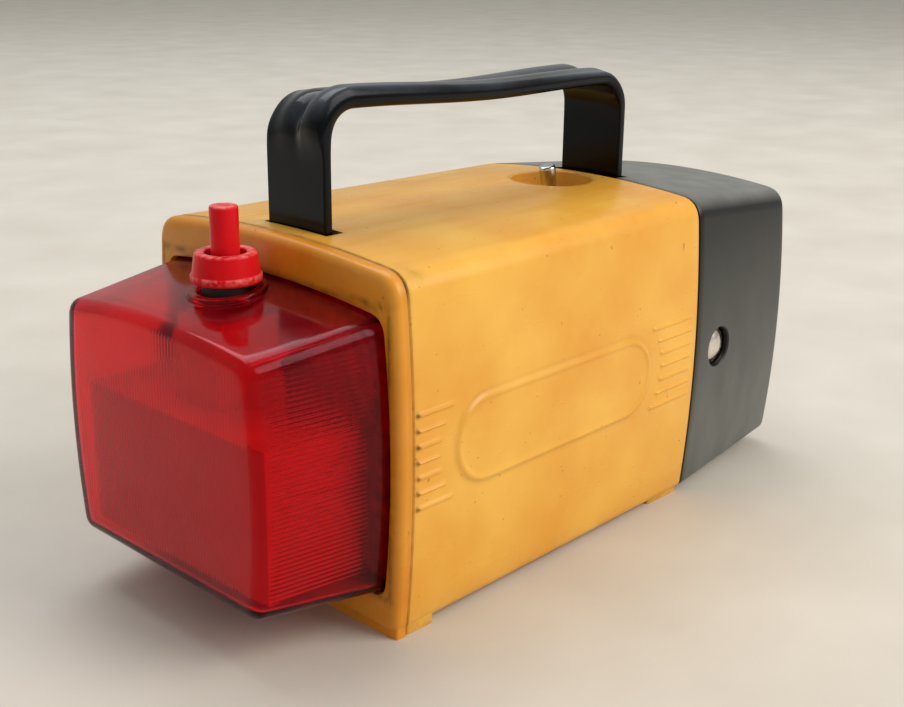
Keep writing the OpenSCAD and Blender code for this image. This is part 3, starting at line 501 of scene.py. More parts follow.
def black_with_painted_light(name):
    """Moulded black plastic, faded and dusty, with painted light and shade.

    The eye gets a satin near-black on the upper sides, a grey film that lightens toward the ground as painted
    light of the floor's bounce, a grey over the top that is dust and painted sheen, faint upright wiping
    marks, and painted shade that blackens the hollows round the side screws.
    """
    f = Finish(name)
    # Painted light: lighter grey toward the ground, as if lit by the floor's bounce, and over the top a grey
    # that is dust and painted sheen
    low = f.ranged(f.along("Z"), 85.0 * MM, 12.0 * MM, 0.0, 0.62)
    dust = f.math("MAXIMUM", low, f.ranged(f.facing("Z"), 0.35, 0.95, 0.0, 0.85))
    wiped = f.ranged(f.noise(9.0, 4.0, f.stretched(1.0, 1.0, 0.4)), 0.3, 0.7, 0.82, 1.18)
    dust = f.math("MULTIPLY", dust, wiped, use_clamp=True)
    # Painted shade: near black in the hollows round the side screws; the same mark darkens the joint at the
    # case
    tint = f.blend(f.held("grime_and_shade"), f.blend(dust, "#0F1112", "#7C7E7A"), "#040404")
    gloss = f.ranged(dust, 0.0, 1.0, 0.30, 0.50)
    dent = f.dents(f.noise(0.6, 3.0), 0.35, 0.05)
    return f.made({"Base Color": tint, "Roughness": gloss, "Normal": dent, "IOR": 1.38})


ACRYLIC = {"IOR": 1.49, "Specular Tint": "#857A88"}


def clear_red(name):
    """Moulded clear red acrylic, outside.

    The eye gets a clean deep red that lets the white carrier glow through, glossy, with a thin brownish film
    of dust that is thickest on top, and dark stains along the bezel that are partly painted shade of the dark
    gap behind the lens.
    """
    f = Finish(name)
    upward = f.ranged(f.facing("Z"), 0.5, 0.9)
    cloud = f.noise(9.0, 6.0)
    film = f.math("MULTIPLY_ADD", upward, 0.06, f.ranged(cloud, 0.42, 0.70, 0.0, 0.08))
    # Dark stains along the bezel, partly painted shade of the dark gap behind the lens
    stain_and_shade = f.math("MULTIPLY", f.held("grime_and_shade"), f.ranged(cloud, 0.36, 0.60, 0.20, 0.70))
    tint = f.blend(stain_and_shade, f.blend(film, "#F62234", "#3A1A12"), "#4A0A06")
    gloss = f.ranged(film, 0.0, 0.30, 0.03, 0.34)
    through = f.ranged(film, 0.0, 1.0, 1.0, 0.0)
    return f.made({"Base Color": tint, "Roughness": gloss, "Transmission Weight": through, **ACRYLIC})


def ribbed_red(name):
    """The same acrylic inside: slightly frosted, with fine upright moulded lines on the rear face."""
    f = Finish(name)
    endwise = f.ranged(f.math("ABSOLUTE", f.facing("X")), 0.8, 0.95)
    lines = f.math("MULTIPLY", f.wave(f.along("Y"), LINE_PITCH), endwise)
    frost = f.ranged(endwise, 0.0, 1.0, 0.08, 0.12)
    through = f.ranged(endwise, 0.0, 1.0, 0.93, 0.98)
    return f.made({"Base Color": "#F82436", "Roughness": frost, "Normal": f.dents(lines, 0.2, 0.05),
                   "Transmission Weight": through, **ACRYLIC})


def worn_red(name):
    """Moulded opaque red plastic, rubbed pale along its edges, with small chips and a satin gloss."""
    f = Finish(name)
    rubbed = f.math("MULTIPLY", f.held("wear"), f.ranged(f.noise(1.8, 5.0), 0.42, 0.60))
    cloud = f.noise(5.0, 3.0)
    tint = f.blend(rubbed, f.blend(cloud, "#CC0C16", "#E61822"), "#EE7C78")
    gloss = f.ranged(cloud, 0.0, 1.0, 0.26, 0.42)
    dent = f.dents(f.noise(0.5, 2.0), 0.3, 0.03)
    return f.made({"Base Color": tint, "Roughness": gloss, "Normal": dent, "Specular Tint": "#8A787A"})


def clear_glass(name):
    """Clear glass with a very faint haze of dust that dulls its gloss in patches."""
    f = Finish(name)
    gloss = f.ranged(f.noise(11.0, 5.0), 0.35, 0.7, 0.02, 0.08)
    return f.made({"Base Color": "#F6F8F6", "Roughness": gloss, "IOR": 1.5, "Transmission Weight": 1.0})


def ringed_mirror(name):
    """Vacuum-metallised reflector: near mirror, with faint turning rings 0.8 mm apart round the beam."""
    f = Finish(name)
    centred = add(f.tree, "Mapping", {"Vector": f.here, "Location": (0.0, 0.0, -BEAM_Z * MM)}).outputs[0]
    flat = add(f.tree, "CombineXYZ", {axis: f.along(axis, centred) for axis in "YZ"}).outputs[0]
    out = add(f.tree, "VectorMath", {0: flat}, operation="LENGTH").outputs["Value"]
    dent = f.dents(f.wave(out, 0.8), 0.12, 0.01)
    gloss = f.ranged(f.noise(14.0, 4.0), 0.0, 1.0, 0.04, 0.14)
    return f.made({"Base Color": "#E9EBEC", "Roughness": gloss, "Normal": dent, "Metallic": 1.0})


METAL = {"Metallic": 1.0}
yellow = aged_yellow("aged_yellow_plastic", "#E9A433", "#F3BB4B")
# A deeper, more orange copy of the yellow for the bezel: painted shade of the rear, which faces away from the
# light
shaded_yellow = aged_yellow("aged_yellow_plastic_painted_shade", "#DE8C14", "#E99E26")
red_out = clear_red("clear_red_acrylic")
red_in = ribbed_red("clear_red_acrylic_ribbed")
red_button = worn_red("worn_red_plastic")
# Glossy moulded vinyl of the strap: nearly black, with soft long reflections and a painted bluish sheen on
# top
black_gloss = mottled("glossy_black_vinyl", "#020203", "#08080A", 12.0, (0.10, 0.24), 0.7, 0.05,
                      (0.4, 1, 1), "#4E555E", {"IOR": 1.46, "Specular Tint": "#8E949E"})
black_satin = black_with_painted_light("satin_black_plastic")
# Moulded black plastic inside the lantern, unfaded
black_dull = mottled("dull_black_plastic", "#0E0E0E", "#1C1C1C", 10.0, (0.45, 0.60), 0.6, 0.05)
# Bright chromed brass, slightly pitted and dulled
chrome = mottled("chromed_brass", "#B9B9B6", "#E2E2DE", 3.0, (0.10, 0.28), 0.4, 0.02, more=METAL)
# Nickel plate gone warm and a little cloudy
nickel = mottled("nickel_plate", "#C9BDB0", "#EFE9E0", 3.0, (0.14, 0.32), 0.4, 0.02, more=METAL)
# Zinc-plated steel, grey and unevenly dull
steel = mottled("zinc_plated_steel", "#8C8F90", "#B4B6B4", 2.5, (0.28, 0.46), 0.3, 0.02, more=METAL)
# Rolled brass, tarnished in patches
brass = mottled("rolled_brass", "#8F6F2E", "#C9A24B", 3.5, (0.22, 0.44), 0.3, 0.02, more=METAL)
# Black rubber, dull with a fine grain
rubber = mottled("black_rubber", "#141414", "#222222", 6.0, (0.62, 0.80), 0.5, 0.08)
# Moulded white plastic, slightly yellowed
white = mottled("white_polystyrene", "#EDE7DA", "#F8F4EA", 14.0, (0.34, 0.50), 0.6, 0.04)
# Brown phenolic, dark and slightly glossy, with a faint fleck
bakelite = mottled("brown_phenolic", "#25170E", "#412A1B", 2.2, (0.28, 0.45), 0.5, 0.03)
# Plain card jacket of the battery, with a paper grain
card = mottled("blue_card_jacket", "#27446F", "#35558A", 9.0, (0.52, 0.70), 0.35, 0.06)
# Polyether foam, grey, with open cells about 0.8 mm wide
foam = mottled("grey_foam", "#5A544C", "#7B746A", 0.8, (0.85, 0.95), 0.8, 0.5)
# Plain studio floor, pale and matt
floor_finish = mottled("pale_studio_floor", "#CFCAC0", "#D9D5CC", 60.0, (0.7, 0.85), 1.2, 0.10)
mirror = ringed_mirror("metallised_reflector")
glass = clear_glass("lamp_glass")

# The camera, fitted to the photograph's edges, in a frame of 904 by 707
yaw, pitch, roll = np.radians([46.283, 18.150, 0.652])
ahead = np.array([np.sin(yaw) * np.cos(pitch), np.cos(yaw) * np.cos(pitch), -np.sin(pitch)])
right = np.array([np.cos(yaw), -np.sin(yaw), 0.0])
up = np.cross(right, ahead)
right, up = right * np.cos(roll) + up * np.sin(roll), up * np.cos(roll) - right * np.sin(roll)
eye = np.array([X_REAR - 203.67, -262.52, 175.59]) * MM
camera = bpy.data.objects.new("camera", bpy.data.cameras.new("camera"))
camera.data.sensor_width = 36.0
camera.data.lens = 51.636
camera.data.clip_end = 50.0
camera.matrix_world = Matrix([*np.column_stack([right, up, -ahead, eye]).tolist(), [0, 0, 0, 1]])
bpy.context.scene.collection.objects.link(camera)
bpy.context.scene.camera = camera


# The yellow case

def plaque_depth(x, z):
    """Distance from a point on a side to the plaque's round-ended outline, positive inside."""
    return PLAQUE_R - np.hypot(np.maximum(np.abs(x - PLAQUE_X) - PLAQUE_RUN, 0.0), z - PLAQUE_Z)


def relief(x, z):
    """Height of the relief on a side: a round-ended plaque with a raised rim, and seven ribs at each end.

    The plaque's rim rises smoothly from its outline and drops half way to the field inside it. Each rib is
    a smooth bump across Z that runs along X between the case's edge and an arc round the plaque's end.
    """
    depth = plaque_depth(x, z)
    height = PLAQUE_H * ease(depth / PLAQUE_RISE) - PLAQUE_DROP * ease(depth - PLAQUE_RIM)
    dz = (np.arange(RIBS) - (RIBS - 1) / 2)[:, None, None] * RIB_PITCH
    reach = PLAQUE_RUN + np.sqrt((PLAQUE_R + RIB_GAP) ** 2 - dz ** 2)
    across = ease(1.0 - np.abs(z - PLAQUE_Z - dz) / (RIB_W * 0.62))
    rear = ease((x - X_SEAM - 1.0) / 0.7) * ease((PLAQUE_X - reach - x) / RIB_END)
    front = ease((x - PLAQUE_X - reach) / RIB_END) * ease((X_JOINT - 3.0 - x) / RIB_END)
    return height + RIB_H * (across * (rear + front)).max(0)


# Points lie closest where the ribs and the plaque's ends are
low_side, high_side = CASE_LOW + BASE_CORNER, CASE_TOP - CROWN - CORNER
side_z = spaced((low_side, 0), (RELIEF_LOW, 9), (RELIEF_TOP, 80), (high_side, 9))
dense_side = (side_z - low_side) / (high_side - low_side)
outer_x = spaced((X_SEAM + CHAMFER, 0), (-43.0, 52), (13.0, 16), (X_JOINT - CHAMFER, 66))
outer = rings(outer_x, case_half(outer_x), CASE_LOW, CASE_TOP, CORNER, dense_side, BASE_CORNER)
flank = (np.abs(outer[..., 1]) > FLANK_Y) & (outer[..., 2] > 20.0) & (outer[..., 2] < 80.0)
outer[..., 1] += np.where(flank, np.sign(outer[..., 1]) * relief(outer[..., 0], outer[..., 2]), 0.0)


def case_row(x, inset, r=CORNER, side=dense_side):
    """The case's section drawn in by an inset."""
    return rings(x, case_half(x) - inset, CASE_LOW + inset, CASE_TOP - inset, r, side, min(r, BASE_CORNER))


def spigot_row(x, inset):
    """The section of the spigot that reaches into the head, drawn in by an inset."""
    a, _, top = head_shape(x)
    drawn = SPIGOT_IN + inset
    return rings(x, a - drawn, SPIGOT_LOW + inset, top - drawn, SPIGOT_CORNER, dense_side)


case = loose("yellow_case", np.concatenate([
    case_row(X_SEAM, CHAMFER), outer, case_row(X_JOINT, CHAMFER),
    spigot_row(X_JOINT, 0.0), spigot_row(np.linspace(X_JOINT + 4.0, SPIGOT_END - SPIGOT_EDGE, 6), 0.0),
    spigot_row(SPIGOT_END, SPIGOT_EDGE), spigot_row(SPIGOT_END, SPIGOT_WALL - SPIGOT_EDGE),
    spigot_row(np.linspace(SPIGOT_END - SPIGOT_EDGE, X_MOUTH, 6), SPIGOT_WALL),
    case_row(np.linspace(X_MOUTH, X_SEAM, 10), WALL, INNER_CORNER),
]), along=True)
slot_y, screw_slot_z = (-SLOT_HALF, SLOT_HALF), (SCREW_Z - 2.4, SCREW_Z + 2.4)
cut(case,
    plug("well_cutter", WELL_CUT, 86.0, CUT_TOP, (X_WELL, 0, 0), n=96),
    block("rear_slot", (LEG_REAR - 2.0, LEG_REAR + 4.0), slot_y, (91.0, CUT_TOP)),
    block("front_slot", (LEG_FRONT - 2.4, LEG_FRONT + 2.4), slot_y, (84.0, CUT_TOP)),
    block("screw_slots", (X_SCREW - 2.4, SPIGOT_END + 2.0), (-60.0, 60.0), screw_slot_z, 2.0))


def crown_at(y):
    """Height of the case's top at a distance from the middle."""
    return CASE_TOP - CROWN * (y / (case_half(X_WELL) - BOW)) ** 2


well_path = softened([[15.2, -11.2], [15.2, -2.9], [13.95, 0.0], [13.0, 0.0], [13.0, -WELL_DEPTH],
                      [6.1, -WELL_DEPTH], [6.1, -11.2]], 0.9)
cup = turned(well_path, (X_WELL, 0, 0), n=96)
lift = ease((cup[..., 2] + WELL_DEPTH) / WELL_DEPTH)
cup[..., 2] += mix(CASE_TOP, crown_at(cup[..., 1]), lift)
plate_x = (X_SEAM + 0.05, X_INSIDE)
plate_loop = rings(plate_x, case_half(X_SEAM) - WALL, CASE_LOW + WALL, CASE_TOP - WALL, INNER_CORNER)


def facing_circle(x, r, z, loop):
    """A circle round the X direction at a height, whose points face those of a loop."""
    angle = np.arctan2(loop[:, 2] - z, loop[:, 1])
    return np.column_stack([np.full(len(angle), x), r * np.cos(angle), z + r * np.sin(angle)])[None]


hole = [facing_circle(x, SOCKET_HOLE, SOCKET_Z, plate_loop[0]) for x in plate_x[::-1]]
plate = loose("rear_wall", np.concatenate([plate_loop, *hole]), along=True)


def foot(s, x0, x1, inset=0.0, inner=FOOT_IN):
    """A low foot on one side: a rounded bar from inner out to the case's lower edge, less an inset."""
    span = sorted((s * inner, s * (case_half(x1) - BOW - inset)))
    return block("foot", (x0, x1), span, (0.0, FOOT_H), FOOT_R)


feet = [foot(s, *span) for s in (-1, 1)
        for span in ((X_SEAM + 0.1, X_SEAM + 10.0), (X_JOINT - 16.0, X_JOINT - 0.2, 1.2))]
rails = [block("rail", (X_INSIDE, X_MOUTH), (mid - RAIL_HALF, mid + RAIL_HALF), (RAIL_LOW, RAIL_TOP))
         for mid in (-RAIL_Y, RAIL_Y)]
joined(case, loose("well_cup", cup, along=True), plate, *feet, *rails)
finished(case, "case", [yellow], ["case_body"])

# Grime and painted shade of the case: how much each place holds
x, y, z = places(case)
off_rib = np.abs((z - PLAQUE_Z) / RIB_PITCH - np.round((z - PLAQUE_Z) / RIB_PITCH)) * RIB_PITCH
rib_ends = 0.95 * bell(x - X_SEAM - 1.2, 0.7) * (np.abs(z - PLAQUE_Z) < 14.5) * bell(off_rib, 0.8)
plaque_edge = 0.10 * bell(plaque_depth(x, z), 0.7) * (np.abs(y) > FLANK_Y)
seam = mix(0.35, 0.90, ease((z - 88.0) / 6.0)) * fade(x - X_SEAM, 0.5)
mouth = 0.7 * fade(np.abs(x - X_JOINT), 0.4)
from_well = np.hypot(x - X_WELL, y)
# Painted shade inside the toggle well, and a darker ring round its rim
well_shade_and_rim = 0.35 * (from_well < 12.9) * (z > 88) * (z < 99.5) + 0.30 * bell(from_well - 13.6, 0.5) * (z > 98.5)
# Painted shade on the walls and rim of the rear strap slot
slot_shade = 0.5 * fade(np.maximum(np.abs(x - LEG_REAR - 1.0) - 3.0, 0.0), 0.5) * (np.abs(y) < 13.6) * (z > 96)
scuff = 0.45 * bell(x + 69.0, 3.0) * bell(z - 96.0, 1.6) * (y < -40)
low_dust = 0.22 * fade(z - 2.0, 3.5)
# Painted shade: the inside of the rear wall, seen through the red lens, darkened as if in shadow
rear_wall = 0.7 * (x < X_SEAM + 0.2) * (np.abs(y) < case_half(X_SEAM) - WALL + 0.1) * (z < CASE_TOP - WALL)
mark(case, "grime_and_shade", np.maximum.reduce([
    rib_ends, plaque_edge, seam, mouth, well_shade_and_rim, slot_shade, scuff, low_dust, rear_wall]))


# The bezel round the lens

def opening_row(x, grow):
    """The section of the bezel's opening, grown outward."""
    return rings(x, OPEN_HALF + grow, OPEN_LOW - grow, OPEN_TOP + grow, OPEN_CORNER + grow)


roll_in = BEZEL_ROLL * (1.0 - np.cos(QUARTER))
roll_x = X_REAR + BEZEL_ROLL * (1.0 - np.sin(QUARTER))
rolled = rings(roll_x, case_half(roll_x) - roll_in, CASE_LOW + roll_in, CASE_TOP - roll_in,
               CORNER - 0.6 * roll_in, base=BASE_CORNER - 0.5 * roll_in)
band = mix(rolled[-1:], opening_row(X_REAR, 0.7), steps(6)[1:])
bezel = loose("rear_bezel_skin", np.concatenate([
    case_row(X_SEAM, CHAMFER, side=EVEN_SIDE), case_row(X_SEAM - CHAMFER, 0.0, side=EVEN_SIDE),
    rolled, band, opening_row(X_REAR + 0.2, 0.2), opening_row(X_REAR + 0.8, 0.0),
    opening_row(X_REAR + 2.0, 0.0), opening_row(X_REAR + 2.0, 2.1), opening_row(X_SEAM, 2.1),
]), along=True)
joined(bezel, *[foot(s, X_REAR + 0.9, X_SEAM - 0.1, inner=BEZEL_FOOT_IN) for s in (-1, 1)])
# The bezel takes the deeper copy of the yellow, painted shade of the rear
finished(bezel, "case", [shaded_yellow], ["rear_bezel"])
x, y, z = places(bezel)
above_open = np.abs(z - (OPEN_LOW + OPEN_TOP) / 2) - (OPEN_TOP - OPEN_LOW) / 2
open_gap = np.maximum(np.abs(y) - OPEN_HALF, above_open)
edge_dirt = 0.8 * fade(np.abs(open_gap), 0.8)
seam = mix(0.40, 0.98, ease((z - 88.0) / 6.0)) * fade(X_SEAM - x, 0.45)
shade = 0.10 * ease((X_REAR + 1.2 - x) / 1.0)
mark(bezel, "grime_and_shade", np.maximum.reduce([edge_dirt, seam, shade]))


# The red flasher lens: rear face, rounded edge, sides, flange, then the ribbed inside back to the rear face

def lens_row(x, inset):
    """The lens section drawn in by an inset, with points close enough on its sides for the ribbing."""
    a, low, top = lens_shape(x)
    corner = np.maximum(1.5, OPEN_CORNER - np.asarray(inset, float))
    return rings(x, a - inset, low + inset, top - inset, corner, RIB_SIDE)


def face_rows(edge, bulge=0.5):
    """A slightly domed face that closes a ring: the ring scaled toward its middle, from there outward."""
    t = steps(10)[:-1]
    face = mix(edge.mean(0), edge[None], t)
    face[..., 0] -= bulge * (1.0 - t[..., 0] ** 2)
    return face


bend_x, bend_in = 1.0 - np.cos(QUARTER), 1.0 - np.sin(QUARTER)
hull = lens_row(X_LENS + LENS_ROLL * bend_x, LENS_ROLL * bend_in)
inner_edge = lens_row(X_LENS + LENS_WALL + LENS_INNER_ROLL * bend_x, LENS_WALL + LENS_INNER_ROLL * bend_in)
inner_x = np.linspace(X_LENS + LENS_WALL + LENS_INNER_ROLL, X_SEAM - 1.0, 24)[1:]
inner_flank = lens_row(inner_x, LENS_WALL)
x, y, z = np.moveaxis(inner_flank, -1, 0)
ribbing = LINE_H * np.abs(np.sin(np.pi * z / LINE_PITCH)) * (np.abs(y) > 34.0)
ribbing *= ease((x - X_LENS - 4.6) / 1.5) * ease((X_REAR - 3.0 - x) / 3.0)
ribbing *= ease((z - LINES_LOW) / 3.0) * ease((LINES_TOP - z) / 3.0)
inner_flank[..., 1] -= np.sign(y) * ribbing
flange = [rings(X_REAR + d, OPEN_HALF + LENS_LIP, OPEN_LOW - LENS_LIP, OPEN_TOP + LENS_LIP, 6.0, RIB_SIDE)
          for d in (2.0, 3.6)]
flank_x = np.linspace(X_LENS + LENS_ROLL, X_REAR + 2.0, 10)[1:]
outside = np.concatenate([face_rows(hull[0]), hull, lens_row(flank_x, 0.0), *flange])
inside = np.concatenate([inner_flank[::-1], inner_edge[::-1], face_rows(inner_edge[0])[::-1]])
lens = loose("red_flasher_lens", np.concatenate([outside, inside]), poles=BOTH, inner_from=len(outside) - 2)
cut(lens, plug("button_hole", BOSS_BORE, 70.0, 100.0, (X_BUTTON, 0, 0)))
boss_path = softened([[BOSS_BORE, -5.2], [BOSS_BORE, -0.2], [8.6, 0.0], [10.3, 0.0], [10.7, -1.6],
                      [11.8, -2.4], [11.8, -3.6]], 0.5)
boss_rim = turned(boss_path, (X_BUTTON, 0, BOSS_TOP - 1.7))
boss_rim[..., 2] += (boss_rim[..., 0] - X_BUTTON) * (LENS_HIGH - FACE_TOP) / LENS_OUT
joined(lens, loose("button_boss", boss_rim, along=True))
finished(lens, "case", [red_out, red_in], ["flasher_lens"], 50.0)
x, y, z = places(lens)
from_bezel = np.maximum(X_REAR - 0.6 - x, 0.0)
# Dark along the bezel: dirt film and painted shade of the dark gap behind; dark stains on top near the bezel
mark(lens, "grime_and_shade", np.maximum(fade(from_bezel, 2.2), 0.8 * (z > 82.0) * fade(from_bezel, 9.0)))

# The button: a flared collar and a plain plunger, both rubbed pale at their edges
collar_path = softened([[6.6, 0.0], [9.2, 0.0], [9.2, 1.7], [8.75, 2.1], [7.95, 7.6], [5.4, 7.6], [5.4, 5.4],
                        [6.6, 5.2]], [0.4, 0.7, 0.5, 0.8, 0.7, 0.3])
collar = loose("button_collar_skin", turned(collar_path, (X_BUTTON, 0, BOSS_TOP), n=96), along=True)
finished(collar, "case", [red_button], ["button_collar"])
x, y, z = places(collar)
brim = 0.9 * bell(z - BOSS_TOP - 1.6, 0.7) * (np.hypot(x - X_BUTTON, y) > 8.8)
mark(collar, "wear", np.maximum(brim, 0.8 * ease((z - BOSS_TOP - 6.9) / 0.6)))
plunger_path = softened([[0, 0], [4.8, 0], [4.8, 2.4], [3.7, 2.4], [3.7, 36.55], [0, 36.75]],
                        [0.3, 0.3, 0.2, 0.7])
plunger_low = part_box("button_plunger")[0][2] / MM
plunger_path[:, 1] *= (BUTTON_TOP - plunger_low) / plunger_path[-1, 1]
plunger = loose("button_plunger_skin", turned(plunger_path, (X_BUTTON, 0, plunger_low)), poles=BOTH)
finished(plunger, "plunger", [red_button], ["button_plunger"])
x, y, z = places(plunger)
mark(plunger, "wear", 0.7 * ease((z - BUTTON_TOP + 0.8) / 0.6))

# The button's return spring, wound between the ends of its solid
spring_low, spring_top = (end[2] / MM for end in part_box("button_spring"))
spring = coiled("button_spring_wire", (X_BUTTON, 0), 4.0, 0.8, 6, spring_low, spring_top)
finished(spring, "case", [steel], ["button_spring"])
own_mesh(spring)

# The strap handle: a two-lobed profile carried along legs, bends and a slightly sagging grip
bend = np.linspace(0.0, np.pi / 2, 17)
grip_t = np.linspace(0.0, 1.0, 41)[1:-1]
grip0, grip1 = LEG_REAR + BEND_R, LEG_FRONT - BEND_R
line_x = np.concatenate([np.full(12, LEG_REAR), grip0 - BEND_R * np.cos(bend), mix(grip0, grip1, grip_t),
                         grip1 + BEND_R * np.sin(bend), np.full(12, LEG_FRONT)])
line_z = np.concatenate([np.linspace(LEG_REAR_LOW, GRIP_REAR - BEND_R, 13)[:-1],
                         GRIP_REAR - BEND_R + BEND_R * np.sin(bend),
                         mix(GRIP_REAR, GRIP_FRONT, grip_t) - SAG * (1 - np.cos(2 * np.pi * grip_t)) / 2,
                         GRIP_FRONT - BEND_R + BEND_R * np.cos(bend),
                         np.linspace(GRIP_FRONT - BEND_R, LEG_FRONT_LOW, 13)[1:]])


def strap_grid(px, pz):
    """The strap's profile carried along its middle line.

    Across the strap the outer face of the grip has two rounded lobes with a crease between them, sharpest
    at the bends; its edges are round and its inner face is slightly hollow. The legs are flat, with square
    edges: the edge falls away by a power curve, of the fifth power on the legs and the second on the grip.
    The soft grip is pressed out of true: its right lobe stands higher at the rear and lower at the front, and
    the strap turns by two degrees.
    """
    px, pz = px[:, None], pz[:, None]
    tx, tz = np.gradient(px, axis=0), np.gradient(pz, axis=0)
    size = np.hypot(tx, tz)
    nx, nz = -tz / size, tx / size
    along = (px - LEG_REAR) / (LEG_FRONT - LEG_REAR)
    grip = ease((pz - 119.0) / 11.0)
    at_bend = bell(px - grip0 + 5.0, 7.0) + bell(px - grip1 - 5.0, 7.0)
    half = STRAP_W / 2
    v = np.sin(np.linspace(-np.pi / 2, np.pi / 2, 61))[None, :] * half
    off = v - mix(-2.0, 0.6, along)
    power = mix(5.0, 2.0, grip)
    fall = np.clip((np.abs(v) - half) / mix(0.9, 1.6, grip) + 1.0, 0.0, 1.0)
    edge = np.clip(1.0 - fall ** power, 0.0, 1.0) ** (1.0 / power)
    lobe = 0.8 * np.cos(np.pi / 2 * np.clip((np.abs(off) - 5.6) / 5.6, -1, 1)) ** 2
    crease = (0.45 + 1.0 * at_bend) * bell(off, 1.5) * ease((pz - 125.0) / 5.0)
    thick = mix(LEG_T, GRIP_T, grip) / 2
    swell = mix(mix(-1.2, -0.35, along), mix(0.65, -0.85, along), ease((2.0 - off) / 4.0))
    high = (thick - 0.35 + 0.35 * edge) * edge + grip * (lobe - crease + swell) * edge
    low = -thick * edge + 0.35 * grip * np.cos(np.pi / 2 * v / half) ** 2
    h = np.concatenate([high, low[:, -2:0:-1]], 1)
    w = np.broadcast_to(np.concatenate([v, v[:, -2:0:-1]], 1), h.shape)
    twist = np.radians(mix(2.0, 0.0, along)) * ease((pz - 121.0) / 11.0)
    h, w = h * np.cos(twist) - w * np.sin(twist), w * np.cos(twist) + h * np.sin(twist)
    return np.stack([px + nx * h, w, pz + nz * h], -1)


handle = loose("strap_handle", strap_grid(line_x, line_z), caps=True)
finished(handle, "case", [black_gloss], ["handle"], 55.0)

# The toggle lever: a bat turned round its own leaning axis, and the pin through its ball
BALL_R, PIN_HALF = 3.0, 5.5
pivot = np.array([X_WELL, 0.0, 92.5])
ball = np.linspace(-np.pi / 2, np.radians(55), 14)
bat_end = softened([[1.7, 2.8], [2.5, 5.2], [2.75, 12.0], [0.0, 12.15]], [0.8, 0.9])
bat_path = np.concatenate([np.column_stack([BALL_R * np.cos(ball), BALL_R * np.sin(ball)]), bat_end])
bat = turned(bat_path, (0, 0, 0), n=48)
lean = np.radians(-12.0)
tilt = np.array([[np.cos(lean), 0, np.sin(lean)], [0, 1, 0], [-np.sin(lean), 0, np.cos(lean)]])
lever = loose("toggle_bat", bat @ tilt.T + pivot, poles=BOTH)
pin_path = [[0, -PIN_HALF], [0.9, -PIN_HALF], [1.0, -5.3], [1.0, 5.3], [0.9, PIN_HALF], [0, PIN_HALF]]
joined(lever, loose("toggle_pin", turned(pin_path, pivot, "y", 24), poles=BOTH))
finished(lever, "lever", [chrome], ["toggle_lever"])


# The black lamp head: outside, rolled front edge, frame with its round window, and inside back to the joint

def head_row(x, inset, r=CORNER):
    """The head's section drawn in by an inset."""
    a, low, top = head_shape(x)
    return rings(x, a - inset, low + inset, top - inset, r, base=min(r, BASE_CORNER))


q = np.linspace(0.0, np.pi / 2, 11)[1:]
nose = head_row(X_FRONT - FRONT_ROLL * (1.0 - np.sin(q)), FRONT_ROLL * (1.0 - np.cos(q)), CORNER - 0.2)


def window_row(x, grow=0.0):
    """The window's circle, grown outward, whose points face those of the head's section."""
    return facing_circle(x, WINDOW_R + grow, BEAM_Z, nose[-1])


frame_face = mix(nose[-1:], window_row(X_FRONT, 0.8), steps(8)[1:])
frame_back = mix(window_row(X_FRAME), head_row(X_FRAME, WALL, INNER_CORNER), steps(5))
head = loose("lamp_head", np.concatenate([
    head_row(X_JOINT + 0.6, 0.6), head_row(X_JOINT + 0.75, 0.2),
    head_row(np.linspace(X_JOINT + 1.2, X_FRONT - FRONT_ROLL, 24), 0.0), nose, frame_face,
    window_row(X_FRONT - 0.3, 0.2), window_row(X_FRONT - 0.9), frame_back,
    head_row(np.linspace(X_FRAME - 0.5, X_JOINT + 0.6, 12), WALL, INNER_CORNER),
]), along=True)
screw_y, screw_at = float(head_shape(X_SCREW)[0]), (X_SCREW, 0, SCREW_Z)
seat_y = screw_y - RECESS_DEPTH
recesses = [plug("recess", RECESS_R + 0.5, s * (screw_y - 8.0), s * (screw_y + 5.0), screw_at, "y")
            for s in (-1, 1)]
cut(head, *recesses,
    block("leg_notch", (X_JOINT - 2.0, LEG_FRONT + 2.8), (-13.2, 13.2), (80.0, 106.0)))


def recess_cup(s):
    """The round recess of a side screw: a lip that meets the skin, a wall, a flat seat with a hole, a boss.

    The lip follows the side's taper, and its bow about the middle of the side's height.
    """
    path = softened([[2.2, seat_y], [RECESS_R, seat_y], [RECESS_R, screw_y - 0.6], [7.1, screw_y - 0.22],
                     [7.8, screw_y - 0.9], [7.8, seat_y - 4.4], [2.2, seat_y - 4.4]], 0.3)
    path[:, 1] *= s
    cup = turned(path, screw_at, "y")
    slope = (cup[..., 0] - X_SCREW) * (HALF_FRONT - HALF_JOINT) / (X_FRONT - X_JOINT)
    bowed = -BOW * ((2 * cup[..., 2] - 99.0) / 93.0) ** 2
    cup[..., 1] += s * np.where(np.abs(cup[..., 1]) > seat_y + 0.8, slope + bowed, 0.0)
    return loose("recess_cup", cup, along=True)


post_x0, post_x1 = X_RIM - 1.2, X_FRAME + 0.2
post_path = softened([[0, post_x0], [POST_R, post_x0], [POST_R, post_x1], [0, post_x1]], 0.3)
posts = [loose("post", turned(post_path, (0, s * POST_OFF, BEAM_Z + t * POST_OFF), "x", 24), poles=BOTH)
         for s in (-1, 1) for t in (-1, 1)]
joined(head, recess_cup(-1), recess_cup(1), *posts)
finished(head, "head", [black_satin], ["head_shell"])
x, y, z = places(head)
# Painted shade: the hollows round the side screws are blackened, and a dark joint runs at the case
hollow = (np.hypot(x - X_SCREW, z - SCREW_Z) < 6.7) * (np.abs(y) < screw_y - 0.1)
mark(head, "grime_and_shade", np.maximum(hollow, 0.8 * fade(x - X_JOINT - 0.6, 0.5)))


# The side screws: domed heads on plain shanks

